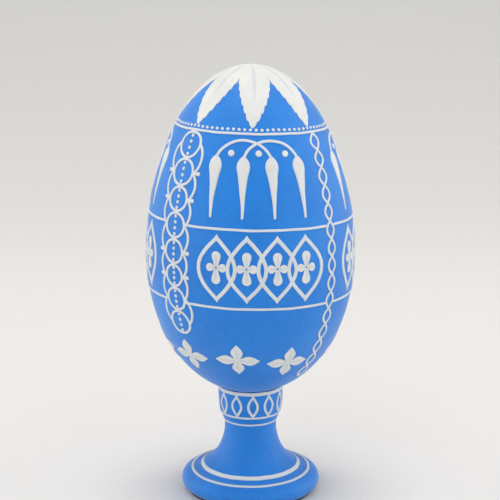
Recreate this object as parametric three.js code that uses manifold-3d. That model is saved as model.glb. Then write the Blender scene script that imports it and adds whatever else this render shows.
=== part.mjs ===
// A decorated egg that stands loose in the cup of a turned pedestal, in millimetres, +Z up.
// The origin is the middle of the felt pad's underside. The front is -Y, and azimuths turn from there to +X.
import * as THREE from "three";
import { mergeVertices } from "three/addons/utils/BufferGeometryUtils.js";
import Module from "manifold-3d";

const wasm = await Module();
wasm.setup();

// ---------------------------------------------------------------- driving sizes

// The egg stands on its blunt end. Its outline is a half circle stretched to the length, and three
// numbers pull it into an egg: taper narrows the tip, fullness rounds the shoulders, and skew fattens
// the blunt end.
const eggLength = 111;
const eggWidth = 70;
const eggTaper = -0.1197;
const eggFullness = 0.0248;
const eggSkew = 0.0344;

// The stand is turned in one piece: a foot with a rolled edge, a bell that narrows to the neck, and a cup.
const footRadius = 23.9;
const footRoll = { wide: 4.4, high: 3.5, up: 2.6, from: -48, to: 75 };
const shoulderRadius = 13;
const shoulderUp = 9.9;
const coveDepth = { in: 0.2, up: 0.4 };
const bellFootRadius = 12.1;
const bellFootUp = 11.4;
const bellBend = { out: 0.9, up: 3.4 };
const neckRadius = 9.1;
const neckUp = 20.2;
const cupBaseRadius = 9.3;
const cupBaseUp = 24.3;
const cupStep = { in: 0.2, down: 0.6 };
const cupBend = { in: 0.1, up: 3.6 };
const cupRadius = 11.1;
const cupWidestUp = 31.8;
const rimUp = 35.9;
const rimSlope = 0.35;
const rimWall = 1.4;
const bowlRadius = 7.2;
const bowlDepth = 6.5;
const bowlCorner = 1.6;

// A cork ring lies loose on the ledge in the cup, and the egg stands on it.
const seatWidth = 1.6;
const seatThickness = 1.5;

// The felt pad is glued under the foot.
const padRadius = 21.7;
const padThickness = 1.2;

// Clearances: under a glued pad, round a loose ring, and between a raised line and what it is drawn on.
const glueGap = 0.1;
const looseGap = 0.3;
const reliefGap = 0.3;
const lineGap = 0.35;

// The raised white work. A height along the egg is a share of the way over its surface from tip to blunt end.
const reliefHeight = 0.55;
const rowLean = 0.0048;
const upperRow = 0.2282;
const middleRow = 0.4419;
const lowerRow = 0.6181;
const rowWidth = 0.85;

// Leaves run down from the tip of the egg. Their wide flats need more room under them than a stroke does.
const crown = {
  leaves: 8,
  turn: 1.5,
  tip: 0.2125,
  valley: 0.095,
  taper: 1.15,
  teeth: 2,
  toothDepth: 0.012,
  rings: 5,
  gap: 0.45,
};

// Two wide strips of round links and two narrow braids part the egg into four panels.
const chain = {
  azimuths: [-45.5, 134],
  to: 0.7043,
  links: 8,
  width: 0.95,
  overlap: 1.04,
  bulge: 1.42,
};
const braid = { azimuths: [48, 228], to: 0.8295, cells: 15, halfWidth: 2.0, width: 0.8 };

// The panels lie between the strips. Pitches and half widths are shares of a panel's room, and a shift
// is degrees off its middle.
const panels = {
  front: { ovalPitch: 0.203, ovalWide: 0.127, ovalShift: 1.2, dropPitch: 0.236, dropShift: -1 },
  right: { ovalPitch: 0.19, ovalWide: 0.117, ovalShift: -0.4, dropPitch: 0.217, dropShift: 2.2 },
  back: { ovalPitch: 0.202, ovalWide: 0.126, ovalShift: 1.2, dropPitch: 0.235, dropShift: -0.3 },
  left: { ovalPitch: 0.189, ovalWide: 0.116, ovalShift: 2.1, dropPitch: 0.215, dropShift: -0.9 },
};
const perPanel = 4;
const oval = { from: 0.4576, to: 0.5949, width: 1.2 };
const drop = { top: 0.281, tail: 0.4153, wide: 4.2 };
const arch = { top: 0.2445, width: 0.95, sink: 0.5, square: 0.8 };

const flower = {
  azimuths: [-45, -9, 27, 69, 102, 135, 171, 207, 249, 282],
  along: 0.7589,
  high: 6.7,
  wide: 15.1,
  petal: 4.6,
};

const rimLine = { up: 35.35, width: 1.3 };
const cupOvals = { count: 12, turn: 4, from: 27.1, to: 34.1, wide: 3.9, width: 0.75 };
const cupLine = { up: 26.75, width: 0.7 };
const neckLine = { up: 24.0, width: 0.7 };
const innerFootLine = { along: 0.5, width: 1.8 };
const outerFootLine = { along: 0.04, width: 0.9 };

// How finely the curved surfaces are cut into flats.
const turnSteps = 36;
const eggSteps = 18;

// ---------------------------------------------------------------- worked out from them

const radians = THREE.MathUtils.degToRad;

const standBottom = padThickness + glueGap;
const upFrom = (height) => standBottom + height;
const cupMouthRadius = cupRadius - rimWall;
const seatOuterRadius = cupMouthRadius - looseGap;
const seatInnerRadius = seatOuterRadius - seatWidth;
const rimInnerZ = upFrom(rimUp) - rimSlope;

const eggPull = (u) => 1 + u * (eggTaper + u * (eggFullness + u * eggSkew));
const eggShape = (u) => Math.sqrt(Math.max(0, 1 - u * u)) * eggPull(u);
const widestShape = Math.max(...Array.from({ length: 401 }, (_, i) => eggShape(i / 200 - 1)));
const eggRadiusAt = (u) => (eggShape(u) * eggWidth) / (2 * widestShape);

// The share u, from the egg's middle to its blunt end, at which its underside has a given radius.
function shareAtRadius(radius) {
  let low = -1;
  let high = -0.5;
  for (let i = 0; i < 40; i++) {
    const middle = (low + high) / 2;
    if (eggRadiusAt(middle) < radius) low = middle;
    else high = middle;
  }
  return (low + high) / 2;
}

// The egg's height over its own middle, where its underside has a given radius.
const undersideAt = (radius) => (shareAtRadius(radius) * eggLength) / 2;

// The egg is as low as it can stand with its underside clear of the rim's inner edge.
const eggMiddleZ = rimInnerZ + looseGap - undersideAt(cupMouthRadius);
const ledgeZ = eggMiddleZ + undersideAt(seatInnerRadius) - looseGap - seatThickness - looseGap;

// The egg's outline, stepped by the way over its surface.
const meridian = [];
for (let i = 0; i <= 720; i++) {
  const u = Math.cos((Math.PI * i) / 720);
  const last = meridian[i - 1];
  const radius = eggRadiusAt(u);
  const z = (u * eggLength) / 2;
  meridian.push({ radius, z, way: last ? last.way + Math.hypot(radius - last.radius, z - last.z) : 0 });
}
const meridianLength = meridian.at(-1).way;

function meridianAt(along) {
  const way = Math.min(Math.max(along, 0), 1) * meridianLength;
  const next = Math.max(1, meridian.findIndex((step) => step.way >= way));
  const [a, b] = [meridian[next - 1], meridian[next]];
  const share = (way - a.way) / (b.way - a.way);
  return {
    radius: a.radius + share * (b.radius - a.radius),
    z: eggMiddleZ + a.z + share * (b.z - a.z),
    slope: new THREE.Vector2(b.radius - a.radius, b.z - a.z).normalize(),
  };
}

// The strips begin under the upper line, and the chain's links share out its length.
const stripRoom = rowWidth / 2 + lineGap;
const chainFrom = upperRow + (stripRoom + chain.width / 2) / meridianLength;
const braidFrom = upperRow + (stripRoom + braid.width / 2) / meridianLength;
const linkPitch = ((chain.to - chainFrom) * meridianLength) / chain.links;
const linkRadius = (linkPitch / 2) * chain.overlap - chain.width / 2;
const bulgeRadius = (linkPitch / 2) * chain.bulge;

// How far a chain's scalloped side stands from its middle, that many millimetres under its top.
function scallopAt(down) {
  const fromMeeting = down - Math.round(down / linkPitch) * linkPitch;
  return Math.sqrt(bulgeRadius ** 2 - fromMeeting ** 2);
}

// How far from a strip's middle a line stops that runs into it at a height along the egg.
function chainStop(along) {
  const down = (along - chainFrom) * meridianLength;
  const near = stripRoom + chain.width / 2;
  const passed = [-1, -0.5, 0, 0.5, 1].map((share) => scallopAt(down + share * near));
  return Math.max(linkRadius, ...passed) + chain.width / 2 + lineGap;
}
const braidStop = () => braid.halfWidth + braid.width / 2 + lineGap;

// The strips in order round the egg, with the first again at the end.
const strips = [
  { azimuth: chain.azimuths[0], stop: chainStop, widest: bulgeRadius + chain.width / 2 },
  { azimuth: braid.azimuths[0], stop: braidStop, widest: braid.halfWidth + braid.width / 2 },
  { azimuth: chain.azimuths[1], stop: chainStop, widest: bulgeRadius + chain.width / 2 },
  { azimuth: braid.azimuths[1], stop: braidStop, widest: braid.halfWidth + braid.width / 2 },
  { azimuth: chain.azimuths[0] + 360, stop: chainStop, widest: bulgeRadius + chain.width / 2 },
];
const turnOf = (millimetres, along) => THREE.MathUtils.radToDeg(millimetres / meridianAt(along).radius);

// The degrees that are free between two strips at a height along the egg.
function panelRoom(i, along) {
  const from = strips[i].azimuth + turnOf(strips[i].widest, along);
  const to = strips[i + 1].azimuth - turnOf(strips[i + 1].widest, along);
  return { middle: (from + to) / 2, degrees: to - from };
}

// ---------------------------------------------------------------- surfaces that lines are drawn on

// A point and its outward normal on a round surface, from its radius, height and downward slope.
function onRound(azimuth, { radius, z, slope }) {
  const out = new THREE.Vector3(Math.sin(azimuth), -Math.cos(azimuth), 0);
  return {
    point: out.clone().multiplyScalar(radius).setZ(z),
    normal: out.multiplyScalar(-slope.y).setZ(slope.x),
  };
}

// A flat drawing board wrapped on the egg: x is millimetres to the right of the azimuth, and y is millimetres
// down from the height given. The rows lean a little to one side, as they do when they are laid by hand.
function eggBoard(azimuthDegrees, along) {
  return (x, y) => {
    const flat = along + y / meridianLength;
    const azimuth = radians(azimuthDegrees) + x / meridianAt(flat).radius;
    return onRound(azimuth, meridianAt(flat + rowLean * Math.sin(azimuth)));
  };
}

// ---------------------------------------------------------------- solids

const solidOf = (geometry) => {
  const bare = geometry.clone().deleteAttribute("normal").deleteAttribute("uv");
  const merged = mergeVertices(bare, 1e-4);
  return new wasm.Manifold(
    new wasm.Mesh({
      numProp: 3,
      vertProperties: new Float32Array(merged.attributes.position.array),
      triVerts: new Uint32Array(merged.index.array),
    }),
  );
};

// Joins solids that cross or touch into one.
function join(geometries) {
  const whole = geometries.map(solidOf).reduce((sum, next) => sum.add(next));
  const mesh = whole.getMesh();
  return new THREE.BufferGeometry()
    .setAttribute("position", new THREE.BufferAttribute(new Float32Array(mesh.vertProperties), 3))
    .setIndex(new THREE.BufferAttribute(new Uint32Array(mesh.triVerts), 1));
}

// A solid from rings that have as many corners each. Its ends are closed unless the rings loop.
function skin(rings, loops) {
  const size = rings[0].length;
  const position = rings.flat().flatMap((corner) => corner.toArray());
  const index = [];
  const last = loops ? rings.length : rings.length - 1;
  for (let i = 0; i < last; i++) {
    for (let k = 0; k < size; k++) {
      const a = i * size + k;
      const b = i * size + ((k + 1) % size);
      const c = ((i + 1) % rings.length) * size + k;
      const d = ((i + 1) % rings.length) * size + ((k + 1) % size);
      index.push(a, c, b, b, c, d);
    }
  }
  if (!loops) {
    const end = (rings.length - 1) * size;
    for (let k = 1; k < size - 1; k++) {
      index.push(0, k, k + 1);
      index.push(end, end + k + 1, end + k);
    }
  }
  return new THREE.BufferGeometry()
    .setAttribute("position", new THREE.Float32BufferAttribute(position, 3))
    .setIndex(index);
}

// A raised stroke with a flat back and a ridge, along steps of { x, y, half } on a board.
function stroke(board, steps, loops = false, height = reliefHeight) {
  const spots = steps.map(({ x, y }) => board(x, y));
  const rings = spots.map(({ point, normal }, i) => {
    const before = spots[loops ? (i + spots.length - 1) % spots.length : Math.max(i - 1, 0)];
    const after = spots[loops ? (i + 1) % spots.length : Math.min(i + 1, spots.length - 1)];
    const ahead = after.point.clone().sub(before.point);
    const side = ahead.cross(normal).normalize().multiplyScalar(steps[i].half);
    const base = point.clone().addScaledVector(normal, reliefGap);
    return [base.clone().sub(side), base.clone().add(side), base.clone().addScaledVector(normal, height)];
  });
  return skin(rings, loops);
}

// Steps at even shares from 0 to 1 along a curve.
const steps = (count, at) => Array.from({ length: count + 1 }, (_, i) => at(i / count));

// A round surface made by turning an outline of [radius, z] points, from the bottom of the axis to its top.
function turned(outline, closed = false) {
  const points = outline.map(([radius, z]) => new THREE.Vector2(Math.max(radius, 0), z));
  if (closed) points.push(points[0].clone());
  return new THREE.LatheGeometry(points, turnSteps).rotateX(Math.PI / 2);
}

const white = () => new THREE.MeshStandardMaterial({ color: 0xe6e3dc, roughness: 0.75, metalness: 0 });
const blue = () => new THREE.MeshStandardMaterial({ color: 0x2c75d1, roughness: 0.7, metalness: 0 });
const cork = () => new THREE.MeshStandardMaterial({ color: 0x8a6f52, roughness: 0.9, metalness: 0 });
const felt = () => new THREE.MeshStandardMaterial({ color: 0x15161a, roughness: 0.95, metalness: 0 });

const model = new THREE.Group();

function add(name, geometry, material) {
  const mesh = new THREE.Mesh(geometry, material);
  mesh.name = name;
  model.add(mesh);
}

// ---------------------------------------------------------------- egg

function eggBody() {
  const outline = steps(eggSteps, (share) => {
    const u = -Math.cos(Math.PI * share);
    return [eggRadiusAt(u), eggMiddleZ + (u * eggLength) / 2];
  });
  return turned(outline);
}

// The crown is a cap over the tip whose edge runs out into long leaves with toothed sides.
function crownCap() {
  const perSide = 2 * crown.teeth;
  const around = 2 * perSide * crown.leaves;
  const edge = (i) => {
    const step = i % (2 * perSide);
    const share = Math.abs(step - perSide) / perSide;
    const tooth = step % 2 === 1 ? crown.toothDepth : 0;
    return crown.valley + (crown.tip - crown.valley) * share ** crown.taper + tooth;
  };
  const spot = (i, share, lift) => {
    const azimuth = radians(crown.turn + (360 * i) / around);
    const along = edge(i % around) * share ** crown.taper;
    const place = onRound(azimuth, meridianAt(along + rowLean * Math.sin(azimuth) * share));
    return place.point.addScaledVector(place.normal, lift);
  };
  const tipZ = eggMiddleZ + eggLength / 2;
  const under = new THREE.Vector3(0, 0, tipZ + crown.gap);
  const over = new THREE.Vector3(0, 0, tipZ + crown.gap + reliefHeight);
  const rows = [];
  for (let k = 1; k <= crown.rings; k++) rows.push({ share: k / crown.rings, lift: crown.gap });
  const back = [...rows].reverse().map(({ share }) => ({ share, lift: crown.gap + reliefHeight }));
  const corners = [...rows, ...back];
  const position = [...under.toArray(), ...over.toArray()];
  const index = [];
  for (let i = 0; i < around; i++) {
    for (const { share, lift } of corners) position.push(...spot(i, share, lift).toArray());
    const here = 2 + i * corners.length;
    const next = 2 + ((i + 1) % around) * corners.length;
    index.push(0, next, here);
    index.push(1, here + corners.length - 1, next + corners.length - 1);
    for (let k = 0; k < corners.length - 1; k++) {
      index.push(here + k, next + k, here + k + 1);
      index.push(next + k, next + k + 1, here + k + 1);
    }
  }
  return new THREE.BufferGeometry()
    .setAttribute("position", new THREE.Float32BufferAttribute(position, 3))
    .setIndex(index);
}

function upperRing() {
  const board = eggBoard(0, upperRow);
  const radius = meridianAt(upperRow).radius;
  const round = steps(turnSteps, (share) => ({ x: share * 2 * Math.PI * radius, y: 0, half: rowWidth / 2 }));
  return stroke(board, round.slice(0, -1), true);
}

// One stretch of a row, from strip to strip.
function rowStretch(along, from, to) {
  const radius = meridianAt(along).radius;
  const length = radians(to - from) * radius;
  const count = Math.ceil((to - from) / 10);
  const line = steps(count, (share) => ({ x: share * length, y: 0, half: rowWidth / 2 }));
  return stroke(eggBoard(from, along), line);
}

// A chain of round links, one under another. On each side a scalloped stroke bulges where two links meet.
function chainStrip(azimuth) {
  const board = eggBoard(azimuth, chainFrom);
  const half = chain.width / 2;
  const links = steps(chain.links - 1, (share) => {
    const middle = (0.5 + share * (chain.links - 1)) * linkPitch;
    const ring = steps(10, (turn) => {
      const angle = turn * 2 * Math.PI;
      return { x: linkRadius * Math.cos(angle), y: middle + linkRadius * Math.sin(angle), half };
    });
    return stroke(board, ring.slice(0, -1), true);
  });
  const scallops = [-1, 1].map((side) =>
    stroke(
      board,
      steps(4 * (chain.links - 1), (share) => {
        const y = (0.5 + share * (chain.links - 1)) * linkPitch;
        return { x: side * scallopAt(y), y, half };
      }),
    ),
  );
  return join([...links, ...scallops]);
}

// Two strands that swing across each other all the way down.
function braidStrip(azimuth) {
  const board = eggBoard(azimuth, braidFrom);
  const length = (braid.to - braidFrom) * meridianLength;
  const strands = [-1, 1].map((side) =>
    stroke(
      board,
      steps(3 * braid.cells, (share) => ({
        x: side * braid.halfWidth * Math.sin(share * braid.cells * Math.PI),
        y: share * length,
        half: braid.width / 2,
      })),
    ),
  );
  return join(strands);
}

// The two sides of a pointed oval, as strokes from its top point to its bottom point.
function pointedOval(board, height, wide, width, count) {
  const halfHeight = height / 2;
  const bend = (halfHeight ** 2 + wide ** 2) / (2 * wide);
  return [-1, 1].map((side) =>
    stroke(
      board,
      steps(count, (share) => {
        const y = (2 * share - 1) * (halfHeight + width / 4);
        const sag = Math.sqrt(bend ** 2 - Math.min(y ** 2, halfHeight ** 2)) - (bend - wide);
        return { x: side * Math.max(sag, 0), y: halfHeight + y, half: width / 2 };
      }),
    ),
  );
}

// The azimuth of each of a panel's motifs, pitched evenly about a middle.
function azimuthsOf(middle, pitch) {
  return steps(perPanel - 1, (share) => middle + (share - 0.5) * (perPanel - 1) * pitch);
}

function ovalPanel(panel, i) {
  const height = (oval.to - oval.from) * meridianLength;
  const middle = (oval.from + oval.to) / 2;
  const room = panelRoom(i, middle);
  const wide = radians(panel.ovalWide * room.degrees) * meridianAt(middle).radius;
  const azimuths = azimuthsOf(room.middle + panel.ovalShift, panel.ovalPitch * room.degrees);
  const boards = azimuths.map((azimuth) => eggBoard(azimuth, oval.from));
  return join(boards.flatMap((board) => pointedOval(board, height, wide, oval.width, 5)));
}

// Four drops hang in a row, and two arches cross over them, each from one drop to the next but one.
function dropPanel(panel, place) {
  const length = (drop.tail - drop.top) * meridianLength;
  const rise = (drop.top - arch.top) * meridianLength;
  const room = panelRoom(place, drop.top);
  const pitch = panel.dropPitch * room.degrees;
  const azimuths = azimuthsOf(room.middle + panel.dropShift, pitch);
  const halfSpan = radians(pitch) * meridianAt(drop.top).radius;
  // Shares of the drop's length, with the half width there as a share of its widest.
  const shape = [
    [-0.01, 0.09],
    [0.04, 0.4],
    [0.1, 0.5],
    [0.35, 0.36],
    [0.75, 0.13],
    [1, 0.075],
  ];
  const body = shape.map(([share, half]) => ({ x: 0, y: share * length, half: half * drop.wide }));
  const bow = steps(8, (share) => ({
    x: -halfSpan * Math.cos(share * Math.PI),
    y: arch.sink - (rise + arch.sink) * Math.sin(share * Math.PI) ** arch.square,
    half: arch.width / 2,
  }));
  const drops = azimuths.map((azimuth) => stroke(eggBoard(azimuth, drop.top), body));
  const arches = azimuths.slice(1, -1).map((azimuth) => stroke(eggBoard(azimuth, drop.top), bow));
  return join([...drops, ...arches]);
}

// Four pointed petals that meet in the middle.
function flowerSprig(azimuth) {
  const board = eggBoard(azimuth, flower.along);
  const sideways = radians(flower.wide) * meridianAt(flower.along).radius;
  const shape = [
    [-0.05, 0.12],
    [0.55, 0.5],
    [1, 0.05],
  ];
  const petals = [0, 1, 2, 3].map((quarter) => {
    const reach = quarter % 2 === 0 ? flower.high : sideways;
    const way = new THREE.Vector2(0, reach).rotateAround(new THREE.Vector2(), (quarter * Math.PI) / 2);
    return stroke(
      board,
      shape.map(([share, half]) => ({ x: way.x * share, y: way.y * share, half: half * flower.petal })),
    );
  });
  return join(petals);
}

// ---------------------------------------------------------------- stand

// The outside of the stand, from under the foot to the rim.
function standSide() {
  const side = new THREE.Path();
  const rollCentre = [footRadius - footRoll.wide, upFrom(footRoll.up)];
  const [from, to] = [radians(footRoll.from), radians(footRoll.to)];
  side.absellipse(...rollCentre, footRoll.wide, footRoll.high, from, to, false, 0);
  side.lineTo(shoulderRadius, upFrom(shoulderUp));
  const cove = [bellFootRadius + coveDepth.in, upFrom(shoulderUp + coveDepth.up)];
  side.quadraticCurveTo(...cove, bellFootRadius, upFrom(bellFootUp));
  const bell = [neckRadius + bellBend.out, upFrom(bellFootUp + bellBend.up)];
  side.quadraticCurveTo(...bell, neckRadius, upFrom(neckUp));
  side.lineTo(cupBaseRadius - cupStep.in, upFrom(cupBaseUp - cupStep.down));
  side.lineTo(cupBaseRadius, upFrom(cupBaseUp));
  const cup = [cupRadius - cupBend.in, upFrom(cupBaseUp + cupBend.up)];
  side.quadraticCurveTo(...cup, cupRadius, upFrom(cupWidestUp));
  side.lineTo(cupRadius, upFrom(rimUp));
  return side;
}

// The points of a path: straight stretches stay whole and curves are cut evenly.
const sidePoints = (path, divisions) => path.getPoints(divisions).map(({ x, y }) => [x, y]);

function standBody() {
  const bowlFloor = ledgeZ - bowlDepth;
  return turned([
    [0, standBottom],
    ...sidePoints(standSide(), 3),
    [cupMouthRadius, rimInnerZ],
    [cupMouthRadius, ledgeZ],
    [bowlRadius, ledgeZ],
    [bowlRadius, bowlFloor + bowlCorner],
    [bowlRadius - bowlCorner, bowlFloor],
    [0, bowlFloor],
  ]);
}

// Where the stand's side is at a height, found on its finely cut outline.
const fineSide = sidePoints(standSide(), 60).map(([radius, z]) => ({ radius, z }));

function standAt(z) {
  const cup = fineSide.filter((spot) => spot.z > upFrom(neckUp) - 1);
  const next = Math.max(1, cup.findIndex((spot) => spot.z >= z));
  const [a, b] = [cup[next - 1], cup[next]];
  const share = (z - a.z) / (b.z - a.z);
  const slope = new THREE.Vector2(a.radius - b.radius, a.z - b.z).normalize();
  return { radius: a.radius + share * (b.radius - a.radius), z, slope };
}

// A drawing board wrapped on the cup: x is millimetres to the right of the azimuth, y is millimetres down.
function cupBoard(azimuthDegrees, height) {
  return (x, y) => {
    const spot = standAt(upFrom(height) - y);
    return onRound(radians(azimuthDegrees) + x / cupRadius, spot);
  };
}

// A raised line right round the cup or the neck.
function roundLine(height, width) {
  const round = steps(turnSteps, (share) => ({ x: share * 2 * Math.PI * cupRadius, y: 0, half: width / 2 }));
  return stroke(cupBoard(0, height), round.slice(0, -1), true);
}

// A raised line round the foot's slope, at a share of the way from its rolled edge to the shoulder.
function footLine({ along, width }) {
  const edge = new THREE.Vector2(
    footRadius - footRoll.wide + footRoll.wide * Math.cos(radians(footRoll.to)),
    upFrom(footRoll.up) + footRoll.high * Math.sin(radians(footRoll.to)),
  );
  const shoulder = new THREE.Vector2(shoulderRadius, upFrom(shoulderUp));
  const spot = edge.clone().lerp(shoulder, along);
  const slope = edge.clone().sub(shoulder).normalize();
  const board = (x) => onRound(x, { radius: spot.x, z: spot.y, slope });
  const round = steps(turnSteps, (share) => ({ x: share * 2 * Math.PI, y: 0, half: width / 2 }));
  return stroke(board, round.slice(0, -1), true);
}

// The ovals stand on the line under them, so they are one piece with it.
function cupOvalBand() {
  const pieces = [roundLine(cupLine.up, cupLine.width)];
  const height = cupOvals.to - cupOvals.from;
  for (let i = 0; i < cupOvals.count; i++) {
    const board = cupBoard(cupOvals.turn + (360 * i) / cupOvals.count, cupOvals.to);
    pieces.push(...pointedOval(board, height, cupOvals.wide / 2, cupOvals.width, 4));
  }
  return join(pieces);
}

function seatRing() {
  const bottom = ledgeZ + looseGap;
  const top = (radius) => eggMiddleZ + undersideAt(radius) - looseGap;
  const section = [
    [seatInnerRadius, bottom],
    [seatOuterRadius, bottom],
    [seatOuterRadius, top(seatOuterRadius)],
    [seatInnerRadius, top(seatInnerRadius)],
  ];
  return turned(section, true);
}

const feltPad = () =>
  turned([
    [0, 0],
    [padRadius, 0],
    [padRadius, padThickness],
    [0, padThickness],
  ]);

// ---------------------------------------------------------------- the assembly

add("egg_body", eggBody(), blue());
add("leaf_crown", crownCap(), white());
add("upper_ring_line", upperRing(), white());

Object.entries(panels).forEach(([side, panel], i) => {
  for (const [row, along] of [["middle", middleRow], ["lower", lowerRow]]) {
    const from = strips[i].azimuth + turnOf(strips[i].stop(along), along);
    const to = strips[i + 1].azimuth - turnOf(strips[i + 1].stop(along), along);
    add(`${side}_${row}_line`, rowStretch(along, from, to), white());
  }
  add(`${side}_drops_and_arches`, dropPanel(panel, i), white());
  add(`${side}_ovals`, ovalPanel(panel, i), white());
});

chain.azimuths.forEach((azimuth, i) => add(`chain_strip_${i + 1}`, chainStrip(azimuth), white()));
braid.azimuths.forEach((azimuth, i) => add(`braid_strip_${i + 1}`, braidStrip(azimuth), white()));
flower.azimuths.forEach((azimuth, i) => add(`flower_${i + 1}`, flowerSprig(azimuth), white()));

add("cork_seat_ring", seatRing(), cork());
add("turned_stand", standBody(), blue());
add("rim_line", roundLine(rimLine.up, rimLine.width), white());
add("cup_oval_band", cupOvalBand(), white());
add("neck_line", roundLine(neckLine.up, neckLine.width), white());
add("inner_foot_line", footLine(innerFootLine), white());
add("outer_foot_line", footLine(outerFootLine), white());
add("felt_pad", feltPad(), felt());

export default model;
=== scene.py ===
"""A decorated wooden egg that stands in the cup of a turned pedestal.

Egg and stand carry a chalky blue ground. The ornament is white slip, laid on in raised strokes and pads.
Lengths are metres. Azimuths are degrees that turn from the front, -Y, to +X, and "way" is a distance over a
round surface from its top.
"""

import logging
import math
from collections.abc import Callable, Iterable, Sequence
from dataclasses import dataclass, field, replace
from enum import Enum

import bpy
import numpy as np
from mathutils import Matrix, Vector


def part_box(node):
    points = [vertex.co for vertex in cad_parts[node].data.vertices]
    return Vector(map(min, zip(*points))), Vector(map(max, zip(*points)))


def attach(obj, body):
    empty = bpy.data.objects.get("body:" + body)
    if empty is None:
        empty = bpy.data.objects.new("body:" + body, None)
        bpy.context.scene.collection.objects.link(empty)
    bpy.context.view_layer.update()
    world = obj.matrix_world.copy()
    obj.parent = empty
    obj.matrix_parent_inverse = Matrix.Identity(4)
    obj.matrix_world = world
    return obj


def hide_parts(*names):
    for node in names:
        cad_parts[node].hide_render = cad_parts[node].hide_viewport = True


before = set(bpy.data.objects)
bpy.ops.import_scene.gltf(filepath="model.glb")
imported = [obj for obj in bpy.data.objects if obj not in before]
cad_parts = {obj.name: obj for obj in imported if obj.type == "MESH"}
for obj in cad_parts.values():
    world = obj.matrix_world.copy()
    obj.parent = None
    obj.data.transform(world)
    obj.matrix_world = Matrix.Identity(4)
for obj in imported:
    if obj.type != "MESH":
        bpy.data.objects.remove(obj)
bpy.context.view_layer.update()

MM = 0.001
ROUND_STEPS = 120
# Waves of an unsteady hand: turns per radian, radians per metre of way, a start and a share.
STRAY = ((7, 460, 1.3, 1.0), (19, -830, 0.0, 0.6))
SWAY = ((11, -390, 0.7, 1.0), (23, 910, 0.0, 0.6))
COOL = (0.6, 0.84, 1.0)
log = logging.getLogger("egg")

Colour = tuple[float, float, float]
Mesh = bpy.types.Object


class Body(Enum):
    """The bodies that pieces ride on."""

    STAND = "stand"
    SEAT = "seat"
    EGG = "egg"


class Slot(Enum):
    """The record's material slots."""

    BLUE_EGG = "blue_egg"
    BLUE_STAND = "blue_stand"
    WHITE = "white_relief"
    CORK = "cork"
    FELT = "black_felt"


class Side(Enum):
    """The four panels round the egg."""

    FRONT = "front"
    RIGHT = "right"
    BACK = "back"
    LEFT = "left"


# ------------------------------------------------------------------------------------------ modelling by hand


def start_fresh() -> None:
    """Leaves edit mode and deselects everything, so that the next operator acts only on what it makes."""
    if bpy.context.object and bpy.context.object.mode != "OBJECT":
        bpy.ops.object.mode_set(mode="OBJECT")
    bpy.ops.object.select_all(action="DESELECT")


def pick(obj: Mesh) -> Mesh:
    """Makes one object the only one selected, and the active one.

    Args:
        obj: The object.

    Returns:
        The same object.
    """
    start_fresh()
    obj.select_set(True)
    bpy.context.view_layer.objects.active = obj
    return obj


def edit(obj: Mesh) -> None:
    """Opens a mesh in edit mode with all of it selected.

    Args:
        obj: The mesh.
    """
    pick(obj)
    bpy.ops.object.mode_set(mode="EDIT")
    bpy.ops.mesh.select_all(action="SELECT")


def corners(obj: Mesh) -> np.ndarray:
    """The corners of a mesh, one row of x, y and z each.

    Args:
        obj: The mesh.

    Returns:
        The rows.
    """
    co = np.empty(len(obj.data.vertices) * 3)
    obj.data.vertices.foreach_get("co", co)
    return co.reshape(-1, 3)


def set_corners(obj: Mesh, co: np.ndarray) -> None:
    """Moves the corners of a mesh to new places."""
    obj.data.vertices.foreach_set("co", co.astype(np.float32).ravel())
    obj.data.update()


def paint_mask(obj: Mesh, name: str, values: np.ndarray) -> None:
    """Stores one number per corner under a name that materials read."""
    layer = obj.data.attributes.get(name) or obj.data.attributes.new(name, "FLOAT", "POINT")
    layer.data.foreach_set("value", values.astype(np.float32))


def trace(points: np.ndarray, closed: bool = False) -> Mesh:
    """Draws a line of edges by pulling one vertex from point to point.

    Args:
        points: Rows of x, y and z.
        closed: Whether the last point joins the first.

    Returns:
        A mesh of edges only.
    """
    route = np.vstack([points, points[:1]]) if closed else points
    start_fresh()
    bpy.ops.mesh.primitive_plane_add(size=MM, location=(0, 0, 0))
    line = bpy.context.active_object
    edit(line)
    bpy.ops.mesh.merge(type="CENTER")
    bpy.ops.transform.translate(value=route[0])
    for step in np.diff(route, axis=0):
        bpy.ops.mesh.extrude_region_move(TRANSFORM_OT_translate={"value": tuple(step)})
    if closed:
        bpy.ops.mesh.select_all(action="SELECT")
        bpy.ops.mesh.remove_doubles(threshold=1e-7)
    bpy.ops.object.mode_set(mode="OBJECT")
    return line


def turn_on_lathe(outline: np.ndarray, steps: int, closed: bool = False) -> Mesh:
    """Spins an outline round the upright axis into a closed shell.

    Args:
        outline: Rows of radius and height.
        steps: How many flats go round.
        closed: Whether the outline is a section that closes on itself, off the axis.

    Returns:
        The turned mesh, with its faces pointing out.
    """
    points = np.column_stack([outline[:, 0], np.zeros(len(outline)), outline[:, 1]])
    shell = trace(points, closed)
    edit(shell)
    bpy.ops.mesh.spin(steps=steps, angle=2 * math.pi, center=(0, 0, 0), axis=(0, 0, 1))
    bpy.ops.mesh.select_all(action="SELECT")
    bpy.ops.mesh.remove_doubles(threshold=1e-6)
    bpy.ops.mesh.normals_make_consistent(inside=False)
    bpy.ops.object.mode_set(mode="OBJECT")
    return shell


def copy_of(obj: Mesh, x: float = 0.0, y: float = 0.0) -> Mesh:
    """A copy with its own mesh, in the scene, moved over the drawing board.

    Args:
        obj: The mesh to copy.
        x: How far the copy moves to the right.
        y: How far it moves up.

    Returns:
        The copy.
    """
    twin = obj.copy()
    twin.data = obj.data.copy()
    twin.data.transform(Matrix.Translation((x, y, 0)))
    bpy.context.collection.objects.link(twin)
    return twin


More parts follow.
